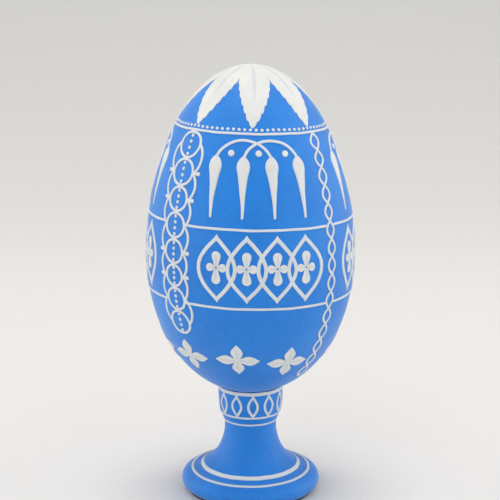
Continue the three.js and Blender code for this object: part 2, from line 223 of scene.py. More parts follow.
def joined(pieces: Sequence[Mesh]) -> Mesh:
    """Joins several meshes into the first.

    Args:
        pieces: The meshes, which are used up.

    Returns:
        The joined mesh.
    """
    start_fresh()
    for piece in pieces:
        piece.select_set(True)
    bpy.context.view_layer.objects.active = pieces[0]
    if len(pieces) > 1:
        bpy.ops.object.join()
    return bpy.context.active_object


def discard(*pieces: Mesh) -> None:
    """Removes templates that have been copied."""
    for piece in pieces:
        bpy.data.objects.remove(piece)


def apply_modifier(obj: Mesh, kind: str, **settings: object) -> None:
    """Adds a modifier to a mesh and applies it.

    Args:
        obj: The mesh.
        kind: The modifier's type.
        **settings: Its settings.
    """
    pick(obj)
    modifier = obj.modifiers.new(kind.lower(), kind)
    for name, value in settings.items():
        setattr(modifier, name, value)
    bpy.ops.object.modifier_apply(modifier=modifier.name)


def smooth_through(places: Sequence[float], values: Sequence[float]) -> Callable[[np.ndarray], np.ndarray]:
    """A smooth curve through a few points, as a function of their places.

    Args:
        places: Where the points are, in rising order.
        values: The value at each.

    Returns:
        A function from places to values.
    """
    x, y = np.array(places, float), np.array(values, float)
    slope = np.gradient(y, x)

    def at(where: np.ndarray) -> np.ndarray:
        """The value of the curve at each place."""
        t = np.clip(np.asarray(where, float), x[0], x[-1])
        i = np.clip(np.searchsorted(x, t) - 1, 0, len(x) - 2)
        width = x[i + 1] - x[i]
        u = (t - x[i]) / width
        rise = (2 * u**3 - 3 * u**2 + 1) * y[i] + (3 * u**2 - 2 * u**3) * y[i + 1]
        lean = (u**3 - 2 * u**2 + u) * slope[i] + (u**3 - u**2) * slope[i + 1]
        return rise + width * lean

    return at


def arc(
    centre: tuple[float, float], radius: tuple[float, float], start: float, end: float, steps: int
) -> np.ndarray:
    """Points on a round or oval arc, with its angles in degrees."""
    angle = np.radians(np.linspace(start, end, steps + 1))
    return np.column_stack([centre[0] + radius[0] * np.cos(angle), centre[1] + radius[1] * np.sin(angle)])


def bow(start: Sequence[float], pull: Sequence[float], end: Sequence[float], steps: int) -> np.ndarray:
    """Points on a curve that leaves start towards pull and reaches end from it."""
    t = np.linspace(0, 1, steps + 1)[:, None]
    return (1 - t) ** 2 * np.array(start) + 2 * t * (1 - t) * np.array(pull) + t**2 * np.array(end)


# ------------------------------------------------------------------------------------------ round grounds


class RoundGround:
    """A turned surface that slip is laid on, known by its outline from the top down."""

    def __init__(self, outline: np.ndarray, lean: float = 0.0) -> None:
        """Measures an outline.

        Args:
            outline: Rows of radius and height, closely spaced, from the top down.
            lean: How far rows sink on the right and rise on the left, as they do when laid by hand.
        """
        self.lean = lean
        self.outline = outline
        self.way = np.concatenate([[0.0], np.cumsum(np.hypot(*np.diff(outline, axis=0).T))])
        self.slope = np.gradient(outline, self.way, axis=0)
        self.slope /= np.linalg.norm(self.slope, axis=1)[:, None]

    @property
    def length(self) -> float:
        """The whole way over the surface."""
        return float(self.way[-1])

    def radius_at(self, way: np.ndarray) -> np.ndarray:
        """The radius at each way."""
        return np.interp(way, self.way, self.outline[:, 0])

    def way_at_height(self, height: float) -> float:
        """The way at which the surface has sunk to a height."""
        return float(np.interp(-height, -self.outline[:, 1], self.way))

    def place(self, azimuth: np.ndarray, way: np.ndarray, lift: np.ndarray) -> np.ndarray:
        """Points over the surface.

        Args:
            azimuth: Radians from the front.
            way: The way over the surface.
            lift: How far each point stands off the surface.

        Returns:
            Rows of x, y and z.
        """
        way = way + self.lean * np.sin(azimuth)
        fall = np.interp(way, self.way, self.slope[:, 0]), np.interp(way, self.way, self.slope[:, 1])
        reach = self.radius_at(way) - lift * fall[1]
        height = np.interp(way, self.way, self.outline[:, 1]) + lift * fall[0]
        return np.column_stack([reach * np.sin(azimuth), -reach * np.cos(azimuth), height])

    def lay(self, obj: Mesh, azimuth: float, way: float, tremor: float = 0.0) -> Mesh:
        """Lays a flat drawing on the surface: its x runs to the right, y up and z outward.

        Args:
            obj: A mesh drawn round the origin.
            azimuth: Degrees at which its x is nought.
            way: The way at which its y is nought.
            tremor: How far an unsteady hand strays.

        Returns:
            The same object.
        """
        x, y, z = corners(obj).T
        down = way - y
        around = math.radians(azimuth) + x / self.radius_at(down)
        stray, sway = (
            tremor
            * sum(size * np.sin(turn * around + run * down + start) for turn, run, start, size in waves)
            for waves in (STRAY, SWAY)
        )
        around = around + stray / self.radius_at(down)
        set_corners(obj, self.place(around, down + sway, z))
        return obj


# ------------------------------------------------------------------------------------------ slip work


@dataclass(frozen=True)
class Stroke:
    """One line or pad of slip, drawn flat.

    Attributes:
        path: Rows of x and y along its middle.
        half: Half of its width.
        closed: Whether its end joins its start.
        swell: Shares of the half width over shares of the length, for a stroke that isn't even.
        round_ends: Whether its ends are rounded off.
        capped: Whether its ends are closed.
        vein: Half the width of a groove down its middle, or nought for none.
        over: How far it is lifted over what it crosses, at each point.
    """

    path: np.ndarray
    half: float
    closed: bool = False
    swell: Callable[[np.ndarray], np.ndarray] | None = None
    round_ends: bool = True
    capped: bool = True
    vein: float = 0.0
    over: Callable[[np.ndarray], np.ndarray] | None = None

    def spaced(self, spacing: float) -> tuple[np.ndarray, np.ndarray, float]:
        """The path at even spacing, with closer points where an end is rounded.

        Args:
            spacing: The distance from point to point.

        Returns:
            The points, each one's distance from the start, and the whole length.
        """
        route = np.vstack([self.path, self.path[:1]]) if self.closed else self.path
        gone = np.concatenate([[0.0], np.cumsum(np.hypot(*np.diff(route, axis=0).T))])
        count = 2 * max(1, round(gone[-1] / spacing / 2))
        wanted = np.linspace(0, gone[-1], count + 1)
        if self.closed:
            wanted = wanted[:-1]
        elif self.round_ends:
            close = self.half * np.array([0.0, 0.06, 0.22, 0.5])
            kept = wanted[(wanted > 0.8 * self.half) & (wanted < gone[-1] - 0.8 * self.half)]
            wanted = np.concatenate([close, kept, gone[-1] - close[::-1]])
        points = np.column_stack([np.interp(wanted, gone, route[:, k]) for k in (0, 1)])
        return points, wanted, gone[-1]


@dataclass(frozen=True)
class Slip:
    """How the slip stands on the ground.

    Attributes:
        rise: How far it stands proud.
        sunk: How far its flat underside lies in the ground.
        spacing: The distance between points along a stroke.
        flats: How finely its rounded top is cut.
        steepness: How quickly its sides reach their height.
        dome: The share of its height that goes on rising to its middle.
        vein_depth: How deep a vein is pressed.
        vein_fade: The shares of a stroke over which a vein starts, where it ends, and over which it fades.
        full: Half the width at which a stroke is thick enough to hide the ground.
        dot_flats: How many flats a dot has round it.
        dot_steps: For each step up a dot, its share of the rise and how far it narrows.
    """

    rise: float = 0.3 * MM
    sunk: float = 0.06 * MM
    spacing: float = 0.42 * MM
    flats: int = 4
    steepness: float = 4.6
    dome: float = 0.22
    vein_depth: float = 0.11 * MM
    vein_fade: tuple[float, float, float] = (0.1, 0.86, 0.25)
    full: float = 1.2 * MM
    dot_flats: int = 12
    dot_steps: tuple[tuple[float, float], ...] = ((0.5, 0.97), (0.34, 0.87), (0.16, 0.62))

    def model(self, strokes: Iterable[Stroke]) -> Mesh:
        """Models strokes as one flat-backed, round-topped relief round the origin."""
        return joined([self._one(stroke) for stroke in strokes])

    def _one(self, stroke: Stroke) -> Mesh:
        """One stroke: a traced line, thickened, and settled flat on its back.

        Args:
            stroke: The stroke.

        Returns:
            Its relief.
        """
        points, gone, length = stroke.spaced(self.spacing)
        share = gone / length
        size = stroke.swell(share) if stroke.swell else np.ones(len(gone))
        if stroke.round_ends and not stroke.closed:
            near = np.clip(np.minimum(gone, length - gone) / (stroke.half * np.maximum(size, 0.2)), 0, 1)
            size = size * np.sqrt(np.maximum(1 - (1 - near) ** 2, 0.02))
        line = trace(np.column_stack([points, np.zeros(len(points))]), stroke.closed)
        pick(line)
        bpy.ops.object.convert(target="CURVE")
        curve = bpy.context.active_object.data
        curve.dimensions = "2D"
        curve.fill_mode = "NONE"
        curve.bevel_depth = stroke.half
        curve.bevel_resolution = self.flats if not stroke.vein else 3 * self.flats
        curve.use_fill_caps = stroke.capped
        drawn = curve.splines[0].points
        nearest = np.array([np.argmin(np.hypot(*(points - np.array(p.co[:2])).T)) for p in drawn])
        drawn.foreach_set("radius", size[nearest])
        bpy.ops.object.convert(target="MESH")
        tube = bpy.context.active_object
        edit(tube)
        bpy.ops.mesh.remove_doubles(threshold=1e-7)
        bpy.ops.mesh.normals_make_consistent(inside=False)
        bpy.ops.object.mode_set(mode="OBJECT")
        self._settle(tube, stroke, points, share)
        return tube

    def _settle(self, tube: Mesh, stroke: Stroke, points: np.ndarray, share: np.ndarray) -> None:
        """Flattens a round tube into slip: a level back, steep sides and a soft top.

        Args:
            tube: The tube, which is changed.
            stroke: The stroke that it was drawn from.
            points: Points along its middle.
            share: The share of its length at each point.
        """
        co = corners(tube)
        x, y, z = co.T
        out = np.maximum(z, 0)
        steep = 1 - np.exp(-out * self.steepness / self.rise)
        up = self.rise * ((1 - self.dome) * steep + self.dome * out / out.max())
        gap = np.array([np.hypot(x - px, y - py) for px, py in points])
        along = share[np.argmin(gap, axis=0)]
        aside = np.min(gap, axis=0)
        vein = np.zeros(len(x))
        if stroke.vein:
            begin, end, out_over = self.vein_fade
            fade = np.clip(np.minimum(along / begin, (end - along) / out_over), 0, 1)
            vein = fade * np.exp(-((aside / stroke.vein) ** 2)) * (z > 0)
        lifted = up - self.vein_depth * vein
        if stroke.over:
            lifted = lifted + stroke.over(along) * np.clip(up / self.rise, 0, 1)
        co[:, 2] = np.where(z > 1e-7, lifted, np.maximum(z, -self.sunk))
        set_corners(tube, co)
        paint_mask(tube, "vein", vein)
        paint_mask(tube, "cover", self.cover(co[:, 2], stroke.half))

    def cover(self, lift: np.ndarray, half: float) -> np.ndarray:
        """How well the slip hides the ground: less at its sides, and less in a thin stroke."""
        return np.clip(lift / self.rise, 0, 1) * (1 + min(1.0, half / self.full)) / 2

    def dot(self, across: float, tall: float = 1.0) -> Mesh:
        """A round dot of slip, pulled up from a disc in narrowing steps.

        Args:
            across: Its width.
            tall: Its height on the drawing, in widths.

        Returns:
            The dot, round the origin.
        """
        start_fresh()
        bpy.ops.mesh.primitive_circle_add(
            vertices=self.dot_flats, radius=across / 2, fill_type="NGON", location=(0, 0, -self.sunk)
        )
        dot = bpy.context.active_object
        bpy.ops.object.transform_apply()
        edit(dot)
        for k, (share, size) in enumerate(self.dot_steps):
            lift = share * self.rise + (0 if k else self.sunk)
            bpy.ops.mesh.extrude_region_move(TRANSFORM_OT_translate={"value": (0, 0, lift)})
            bpy.ops.transform.resize(value=(size, size, 1), center_override=(0, 0, 0))
        bpy.ops.mesh.select_all(action="SELECT")
        bpy.ops.transform.resize(value=(1, tall, 1), center_override=(0, 0, 0))
        bpy.ops.mesh.normals_make_consistent(inside=False)
        bpy.ops.object.mode_set(mode="OBJECT")
        paint_mask(dot, "vein", np.zeros(len(dot.data.vertices)))
        paint_mask(dot, "cover", self.cover(corners(dot)[:, 2], across / 2))
        return dot


def pointed_oval(height: float, half_width: float, line: float) -> Stroke:
    """A pointed oval that hangs from the origin, its line thickened at both points so that they end sharp.

    Args:
        height: From point to point, along the middle of the line.
        half_width: From the middle line to the widest place.
        line: Half the width of the line.

    Returns:
        The oval as one closed stroke.
    """
    t = np.linspace(0, 1, 49)
    right = np.column_stack([half_width * np.sin(math.pi * t), -height * t])
    left = right[:0:-1] * (-1, 1)
    mitre = math.hypot(1, math.pi * half_width / height) / (math.pi * half_width / height)

    def swell(share: np.ndarray) -> np.ndarray:
        """The line's thickness: even but at the points."""
        from_point = np.abs(share * 2 - np.round(share * 2))
        return np.where(from_point < 1e-4, min(mitre, 2.0), 1.0)

    return Stroke(np.vstack([right, left]), line, closed=True, swell=swell)


@dataclass(frozen=True)
class Hand:
    """The hand that lays slip on one piece.

    Attributes:
        ground: The surface that it works on.
        slip: How the slip stands there.
        tremor: How far the hand strays.
    """

    ground: RoundGround
    slip: Slip
    tremor: float

    def lay(self, drawing: Mesh, azimuth: float, way: float) -> Mesh:
        """Lays a flat drawing on the surface, at an azimuth in degrees and a way."""
        return self.ground.lay(drawing, azimuth, way, self.tremor)

    def line_round(self, way: float, half: float) -> Mesh:
        """A line that runs right round the surface and meets itself at the back.

        Args:
            way: How far down the surface it runs.
            half: Half of its width.

        Returns:
            The line as one closed ring.
        """
        radius = float(self.ground.radius_at(way))
        length = 2 * math.pi * radius
        even = replace(self.slip, spacing=length / ROUND_STEPS)
        straight = np.array([(0.0, 0.0), (length, 0.0)])
        line = even.model([Stroke(straight, half, round_ends=False, capped=False)])
        co = corners(line)
        co[:, 0] *= self.ground.radius_at(way - co[:, 1]) / radius
        set_corners(line, co)
        self.lay(line, 180, way)
        edit(line)
        bpy.ops.mesh.remove_doubles(threshold=1e-6)
        bpy.ops.object.mode_set(mode="OBJECT")
        return line


# ------------------------------------------------------------------------------------------ finishes


class NodeSheet:
    """A node tree that is filled in from left to right."""

    def __init__(self, tree: bpy.types.NodeTree) -> None:
        """Starts with an empty tree."""
        self.tree = tree
        tree.nodes.clear()

    def add(
        self, kind: str, inputs: dict[str | int, object] | None = None, **settings: object
    ) -> bpy.types.Node:
        """Adds a node.

        Args:
            kind: The node's type, without ShaderNode.
            inputs: Values, or outputs of other nodes, for its sockets.
            **settings: The node's own settings.

        Returns:
            The new node.
        """
        node = self.tree.nodes.new(kind if kind.startswith("NodeGroup") else f"ShaderNode{kind}")
        for name, value in settings.items():
            setattr(node, name, value)
        for socket, value in (inputs or {}).items():
            if isinstance(value, bpy.types.NodeSocket):
                self.tree.links.new(value, node.inputs[socket])
            elif isinstance(value, tuple) and len(value) == 3 and node.inputs[socket].type == "RGBA":
                node.inputs[socket].default_value = (*value, 1.0)
            else:
                node.inputs[socket].default_value = value
        return node

    def mixed(self, share: object, first: object, second: object, blend: str = "MIX") -> bpy.types.NodeSocket:
        """A colour between two, by a share.

        Args:
            share: How far the second colour is taken.
            first: The colour at nought.
            second: The colour at one.
            blend: How the two are blended.

        Returns:
            The output that holds the colour.
        """
        node = self.add("Mix", data_type="RGBA", blend_type=blend)
        for socket, value in ((node.inputs[0], share), (node.inputs[6], first), (node.inputs[7], second)):
            if isinstance(value, bpy.types.NodeSocket):
                self.tree.links.new(value, socket)
            else:
                socket.default_value = (*value, 1.0) if isinstance(value, tuple) else value
        return node.outputs[2]

    def sum_of(self, *parts: tuple[bpy.types.NodeSocket, float]) -> bpy.types.NodeSocket:
        """Adds values up, each by its own weight.

        Args:
            *parts: Values with their weights.

        Returns:
            The output that holds the sum.
        """
        total: object = 0.0
        for value, weight in parts:
            node = self.add("Math", {0: value, 1: weight, 2: total}, operation="MULTIPLY_ADD")
            total = node.outputs[0]
        return total


def new_group(name: str, inputs: dict[str, tuple[str, object]], outputs: dict[str, str]) -> tuple:
    """Makes an empty shader node group.

    Args:
        name: The group's name.
        inputs: Each input's socket type and default.
        outputs: Each output's socket type.

    Returns:
        The group, its sheet, its input node and its output node.
    """
    group = bpy.data.node_groups.new(name, "ShaderNodeTree")
    for label, (kind, default) in inputs.items():
        socket = group.interface.new_socket(name=label, in_out="INPUT", socket_type=f"NodeSocket{kind}")
        if default is not None:
            socket.default_value = default
    for label, kind in outputs.items():
        group.interface.new_socket(name=label, in_out="OUTPUT", socket_type=f"NodeSocket{kind}")
    sheet = NodeSheet(group)
    start = group.nodes.new("NodeGroupInput")
    return group, sheet, start, group.nodes.new("NodeGroupOutput")


def mottle_group() -> bpy.types.NodeTree:
    """Uneven coats: soft patches of a paler and a deeper tone, and fine flecks.

    Returns:
        The group.
    """
    group, sheet, start, end = new_group(
        "mottled_coat",
        {
            "Vector": ("Vector", None),
            "Pale": ("Color", (1, 1, 1, 1)),
            "Deep": ("Color", (0, 0, 0, 1)),
            "Fleck": ("Color", (1, 1, 1, 1)),
            "Patches": ("Float", 50.0),
            "Fleck Share": ("Float", 0.2),
        },
        {"Color": "Color", "Patch": "Float"},
    )
    where = start.outputs["Vector"]
    broad = sheet.add("TexNoise", {"Vector": where, "Scale": start.outputs["Patches"], "Detail": 4.0})
    many = sheet.add("Math", {0: start.outputs["Patches"], 1: 9.0}, operation="MULTIPLY")
    small = sheet.add(
        "TexNoise", {"Vector": where, "Scale": many.outputs[0], "Detail": 3.0, "Roughness": 0.6}
    )
    both = sheet.sum_of((broad.outputs[0], 0.62), (small.outputs[0], 0.38))
    patch = sheet.add("MapRange", {0: both, 1: 0.36, 2: 0.64})
    tone = sheet.mixed(patch.outputs[0], start.outputs["Deep"], start.outputs["Pale"])
    tiny = sheet.add("TexNoise", {"Vector": where, "Scale": 2600.0, "Detail": 2.0})
    fleck = sheet.add("MapRange", {0: tiny.outputs[0], 1: 0.58, 2: 0.74})
    share = sheet.add("Math", {0: fleck.outputs[0], 1: start.outputs["Fleck Share"]}, operation="MULTIPLY")
    sheet.tree.links.new(sheet.mixed(share.outputs[0], tone, start.outputs["Fleck"]), end.inputs["Color"])
    sheet.tree.links.new(patch.outputs[0], end.inputs["Patch"])
    return group


def grain_group() -> bpy.types.NodeTree:
    """A dry, brushed surface: fine grit over long, faint brush marks that run round the piece.

    Returns:
        The group.
    """
    group, sheet, start, end = new_group(
        "dry_grain",
        {"Vector": ("Vector", None), "Grit": ("Float", 2400.0), "Brush": ("Float", 260.0)},
        {"Height": "Float", "Gloss": "Float"},
    )
    where = start.outputs["Vector"]
    grit = sheet.add("TexNoise", {"Vector": where, "Scale": start.outputs["Grit"], "Detail": 3.0})
    squeezed = sheet.add("VectorMath", {0: where, 1: (0.16, 0.16, 1.0)}, operation="MULTIPLY")
    brush = sheet.add(
        "TexNoise",
        {"Vector": squeezed.outputs[0], "Scale": start.outputs["Brush"], "Detail": 3.0, "Roughness": 0.55},
    )
    height = sheet.sum_of((grit.outputs[0], 0.45), (brush.outputs[0], 0.55))
    gloss = sheet.sum_of((grit.outputs[0], 0.3), (brush.outputs[0], 0.7))
    sheet.tree.links.new(height, end.inputs["Height"])
    sheet.tree.links.new(gloss, end.inputs["Gloss"])
    return group


class Workshop:
    """Holds the shared node groups and starts each finish's material."""

    def __init__(self) -> None:
        """Makes the shared groups."""
        self.mottle = mottle_group()
        self.grain = grain_group()

    def start(self, name: str) -> tuple[bpy.types.Material, NodeSheet, bpy.types.NodeSocket]:
        """A new material, its sheet and its object coordinates.

        Args:
            name: The material's name.

        Returns:
            The material, its sheet and the output with the coordinates.
        """
        material = bpy.data.materials.new(name)
        material.use_nodes = True
        sheet = NodeSheet(material.node_tree)
        return material, sheet, sheet.add("TexCoord").outputs["Object"]

    def coated(
        self, name: str, tones: dict[str, Colour], values: dict[str, float]
    ) -> tuple[bpy.types.Material, NodeSheet, bpy.types.Node, bpy.types.Node]:
        """A new material with both shared groups in it.

        Args:
            name: The material's name.
            tones: Colours for the mottled coat.
            values: Numbers for whichever group has an input of that name.

        Returns:
            The material, its sheet, the coat and the grain.
        """
        material, sheet, where = self.start(name)
        coat = sheet.add("Group", {}, node_tree=self.mottle)
        grain = sheet.add("Group", {}, node_tree=self.grain)
        for label, tone in tones.items():
            coat.inputs[label].default_value = (*tone, 1.0)
        for node in (coat, grain):
            sheet.tree.links.new(where, node.inputs["Vector"])
            for label, value in values.items():
                if label in node.inputs:
                    node.inputs[label].default_value = value
        return material, sheet, coat, grain

    def close(self, sheet: NodeSheet, inputs: dict[str | int, object]) -> None:
        """Ends a material with its shader and output."""
        shader = sheet.add("BsdfPrincipled", inputs)
        sheet.add("OutputMaterial", {"Surface": shader.outputs[0]})


@dataclass(frozen=True)
class ChalkPaint:
    """The dry blue ground.

    Attributes:
        name: The material's name.
        pale: The tone of its thin patches.
        deep: The tone of its full patches.
        fleck: The tone of its finest flecks.
        fleck_share: How far the flecks show.
        patches: How many patches lie in a metre.
        brush: How many brush marks lie in a metre.
    """

    name: str
    pale: Colour = (0.005, 0.204, 0.67)
    deep: Colour = (0.001, 0.166, 0.585)
    fleck: Colour = (0.11, 0.34, 0.78)
    fleck_share: float = 0.16
    patches: float = 55.0
    brush: float = 260.0

    def make(self, shop: Workshop) -> bpy.types.Material:
        """Builds the material.

        Args:
            shop: The shared groups.

        Returns:
            The material.
        """
        material, sheet, coat, grain = shop.coated(
            self.name,
            {"Pale": self.pale, "Deep": self.deep, "Fleck": self.fleck},
            {"Patches": self.patches, "Fleck Share": self.fleck_share, "Brush": self.brush},
        )
        gloss = sheet.add("MapRange", {0: grain.outputs["Gloss"], 1: 0.3, 2: 0.7, 3: 0.4, 4: 0.54})
        bump = sheet.add("Bump", {"Height": grain.outputs["Height"], "Strength": 0.35, "Distance": 0.12 * MM})
        shop.close(
            sheet,
            {
                "Base Color": coat.outputs["Color"],
                "Roughness": gloss.outputs[0],
                "Normal": bump.outputs[0],
                "Specular IOR Level": 0.3,
                "Sheen Weight": 0.19,
                "Sheen Roughness": 0.6,
                "Sheen Tint": (0.75, 0.85, 1.0),
            },
        )
        return material


@dataclass(frozen=True)
class WhiteSlip:
    """The raised white work: bluish where it thins at its sides, and grey where a vein is pressed in.

    Attributes:
        name: The material's name.
        pale: The tone of its thick patches.
        deep: The tone of its other patches.
        thin: The tone where the ground shows through.
        pressed: The tone of a vein.
        patches: How many patches lie in a metre.
        grit: How many grains lie in a metre.
    """

    name: str = "white_slip"
    pale: Colour = (0.73, 0.715, 0.69)
    deep: Colour = (0.66, 0.648, 0.625)
    thin: Colour = (0.44, 0.55, 0.74)
    pressed: Colour = (0.42, 0.44, 0.48)
    patches: float = 160.0
    grit: float = 3200.0

    def make(self, shop: Workshop) -> bpy.types.Material:
        """Builds the material.

        Args:
            shop: The shared groups.

        Returns:
            The material.
        """
        material, sheet, coat, grain = shop.coated(
            self.name,
            {"Pale": self.pale, "Deep": self.deep, "Fleck": self.deep},
            {"Patches": self.patches, "Grit": self.grit},
        )
        cover = sheet.add("Attribute", attribute_name="cover")
        side = sheet.add("MapRange", {0: cover.outputs["Fac"], 1: 0.1, 2: 0.95, 3: 0.6, 4: 0.0})
        vein = sheet.add("Attribute", attribute_name="vein")
        shade = sheet.add("MapRange", {0: vein.outputs["Fac"], 1: 0.1, 2: 0.9, 3: 0.0, 4: 0.32})
        thinned = sheet.mixed(side.outputs[0], coat.outputs["Color"], self.thin)
        colour = sheet.mixed(shade.outputs[0], thinned, self.pressed)
        gloss = sheet.add("MapRange", {0: grain.outputs["Gloss"], 1: 0.3, 2: 0.7, 3: 0.55, 4: 0.74})
        bump = sheet.add("Bump", {"Height": grain.outputs["Height"], "Strength": 0.3, "Distance": 0.1 * MM})
        shop.close(
            sheet,
            {
                "Base Color": colour,
                "Roughness": gloss.outputs[0],
                "Normal": bump.outputs[0],
                "Specular IOR Level": 0.35,
            },
        )
        return material


@dataclass(frozen=True)
class CorkFinish:
    """Cut cork: pale grains with dark seams and pores.

    Attributes:
        name: The material's name.
        pale: The tone of the palest grains.
        deep: The tone of the darkest grains.
        pore: The tone of seams and pores.
        grains: How many grains lie in a metre.
    """

    name: str = "cut_cork"
    pale: Colour = (0.36, 0.22, 0.125)
    deep: Colour = (0.20, 0.115, 0.06)
    pore: Colour = (0.05, 0.028, 0.016)
    grains: float = 900.0

    def make(self, shop: Workshop) -> bpy.types.Material:
        """Builds the material.

        Args:
            shop: The shared groups.

        Returns:
            The material.
        """
        material, sheet, where = shop.start(self.name)
        cells = {"Vector": where, "Scale": self.grains}
        grains = sheet.add("TexVoronoi", cells)
        seams = sheet.add("TexVoronoi", cells, feature="DISTANCE_TO_EDGE")
        pores = sheet.add("TexNoise", {"Vector": where, "Scale": 700.0, "Detail": 3.0})
        tone = sheet.mixed(grains.outputs["Color"], self.deep, self.pale)
        seam = sheet.add("MapRange", {0: seams.outputs[0], 1: 0.0, 2: 0.09, 3: 0.7, 4: 0.0})
        pored = sheet.add("MapRange", {0: pores.outputs[0], 1: 0.6, 2: 0.68})
        colour = sheet.mixed(pored.outputs[0], sheet.mixed(seam.outputs[0], tone, self.pore), self.pore)
        height = sheet.sum_of((seams.outputs[0], 1.0), (pored.outputs[0], -0.5))
        bump = sheet.add("Bump", {"Height": height, "Strength": 0.5, "Distance": 0.2 * MM})
        shop.close(sheet, {"Base Color": colour, "Roughness": 0.85, "Normal": bump.outputs[0]})
        return material


@dataclass(frozen=True)
class FeltFinish:
    """Black felt: matted fibres with a faint bloom.

    Attributes:
        name: The material's name.
        pale: The tone of the raised fibres.
        deep: The tone between them.
    """

    name: str = "black_felt"
    pale: Colour = (0.022, 0.023, 0.027)
    deep: Colour = (0.006, 0.0065, 0.008)

    def make(self, shop: Workshop) -> bpy.types.Material:
        """Builds the material.

        Args:
            shop: The shared groups.

        Returns:
            The material.
        """
        material, sheet, where = shop.start(self.name)
        fibres = sheet.add(
            "TexNoise", {"Vector": where, "Scale": 1500.0, "Detail": 5.0, "Roughness": 0.7, "Distortion": 2.4}
        )
        matted = sheet.add("TexNoise", {"Vector": where, "Scale": 300.0, "Detail": 2.0})
        height = sheet.sum_of((fibres.outputs[0], 0.7), (matted.outputs[0], 0.5))
        tone = sheet.add("MapRange", {0: height, 1: 0.4, 2: 0.8})
        bump = sheet.add("Bump", {"Height": height, "Strength": 0.8, "Distance": 0.3 * MM})
        shop.close(
            sheet,
            {
                "Base Color": sheet.mixed(tone.outputs[0], self.deep, self.pale),
                "Roughness": 0.95,
                "Normal": bump.outputs[0],
                "Sheen Weight": 0.4,
                "Sheen Roughness": 0.5,
            },
        )
        return material


class Finishes:
    """Every finish, made once."""

    def __init__(self) -> None:
        """Makes the materials from their finishes."""
        shop = Workshop()
        self.by_slot = {
            Slot.BLUE_EGG: ChalkPaint("chalk_blue_egg").make(shop),
            Slot.BLUE_STAND: ChalkPaint("chalk_blue_stand", patches=90.0, brush=340.0).make(shop),
            Slot.WHITE: WhiteSlip().make(shop),
            Slot.CORK: CorkFinish().make(shop),
            Slot.FELT: FeltFinish().make(shop),
        }

    def dress(
        self, obj: Mesh, name: str, body: Body, slot: Slot, nodes: Sequence[str] = (), crease: float = 40
    ) -> Mesh:
        """Names, finishes and mounts a piece.

        Args:
            obj: The finished mesh.
            name: The piece's name.
            body: The body it rides on.
            slot: The slot it takes its finish from.
            nodes: The CAD nodes that it stands for.
            crease: Degrees past which an edge stays sharp.

        Returns:
            The piece.
        """
        pick(obj)
        bpy.ops.object.shade_smooth_by_angle(angle=math.radians(crease))
        obj.name = name
        obj.data.name = name
        obj.data.materials.clear()
        obj.data.materials.append(self.by_slot[slot])
        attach(obj, body.value)
        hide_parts(*nodes)
        log.info("%s: %d faces, rides on %s", name, len(obj.data.polygons), body.value)
        return obj


# ------------------------------------------------------------------------------------------ the egg


@dataclass(frozen=True)
class EggOutline:
    """The egg's outline: a half circle stretched to its length and pulled into an egg.

    Attributes:
        width: Its width at the widest.
        taper: How far it narrows towards the tip.
        fullness: How full it is at both ends.
        skew: How much of that fullness the tip takes.
        samples: How many stretches measure it.
    """

    width: float = 70 * MM
    taper: float = -0.1197
    fullness: float = 0.0248
    skew: float = 0.0344
    samples: int = 1440

    def ground(self, low: float, high: float, lean: float) -> RoundGround:
        """The egg's surface between two heights.

        Args:
            low: The height of its foot.
            high: The height of its tip.
            lean: How far its rows lean.

        Returns:
            The surface.
        """
        u = np.cos(np.linspace(0, math.pi, self.samples + 1))
        pull = 1 + u * (self.taper + u * (self.fullness + u * self.skew))
        shape = np.sqrt(np.maximum(1 - u * u, 0)) * pull
        radius = shape * self.width / (2 * shape.max())
        return RoundGround(np.column_stack([radius, (low + high) / 2 + u * (high - low) / 2]), lean)


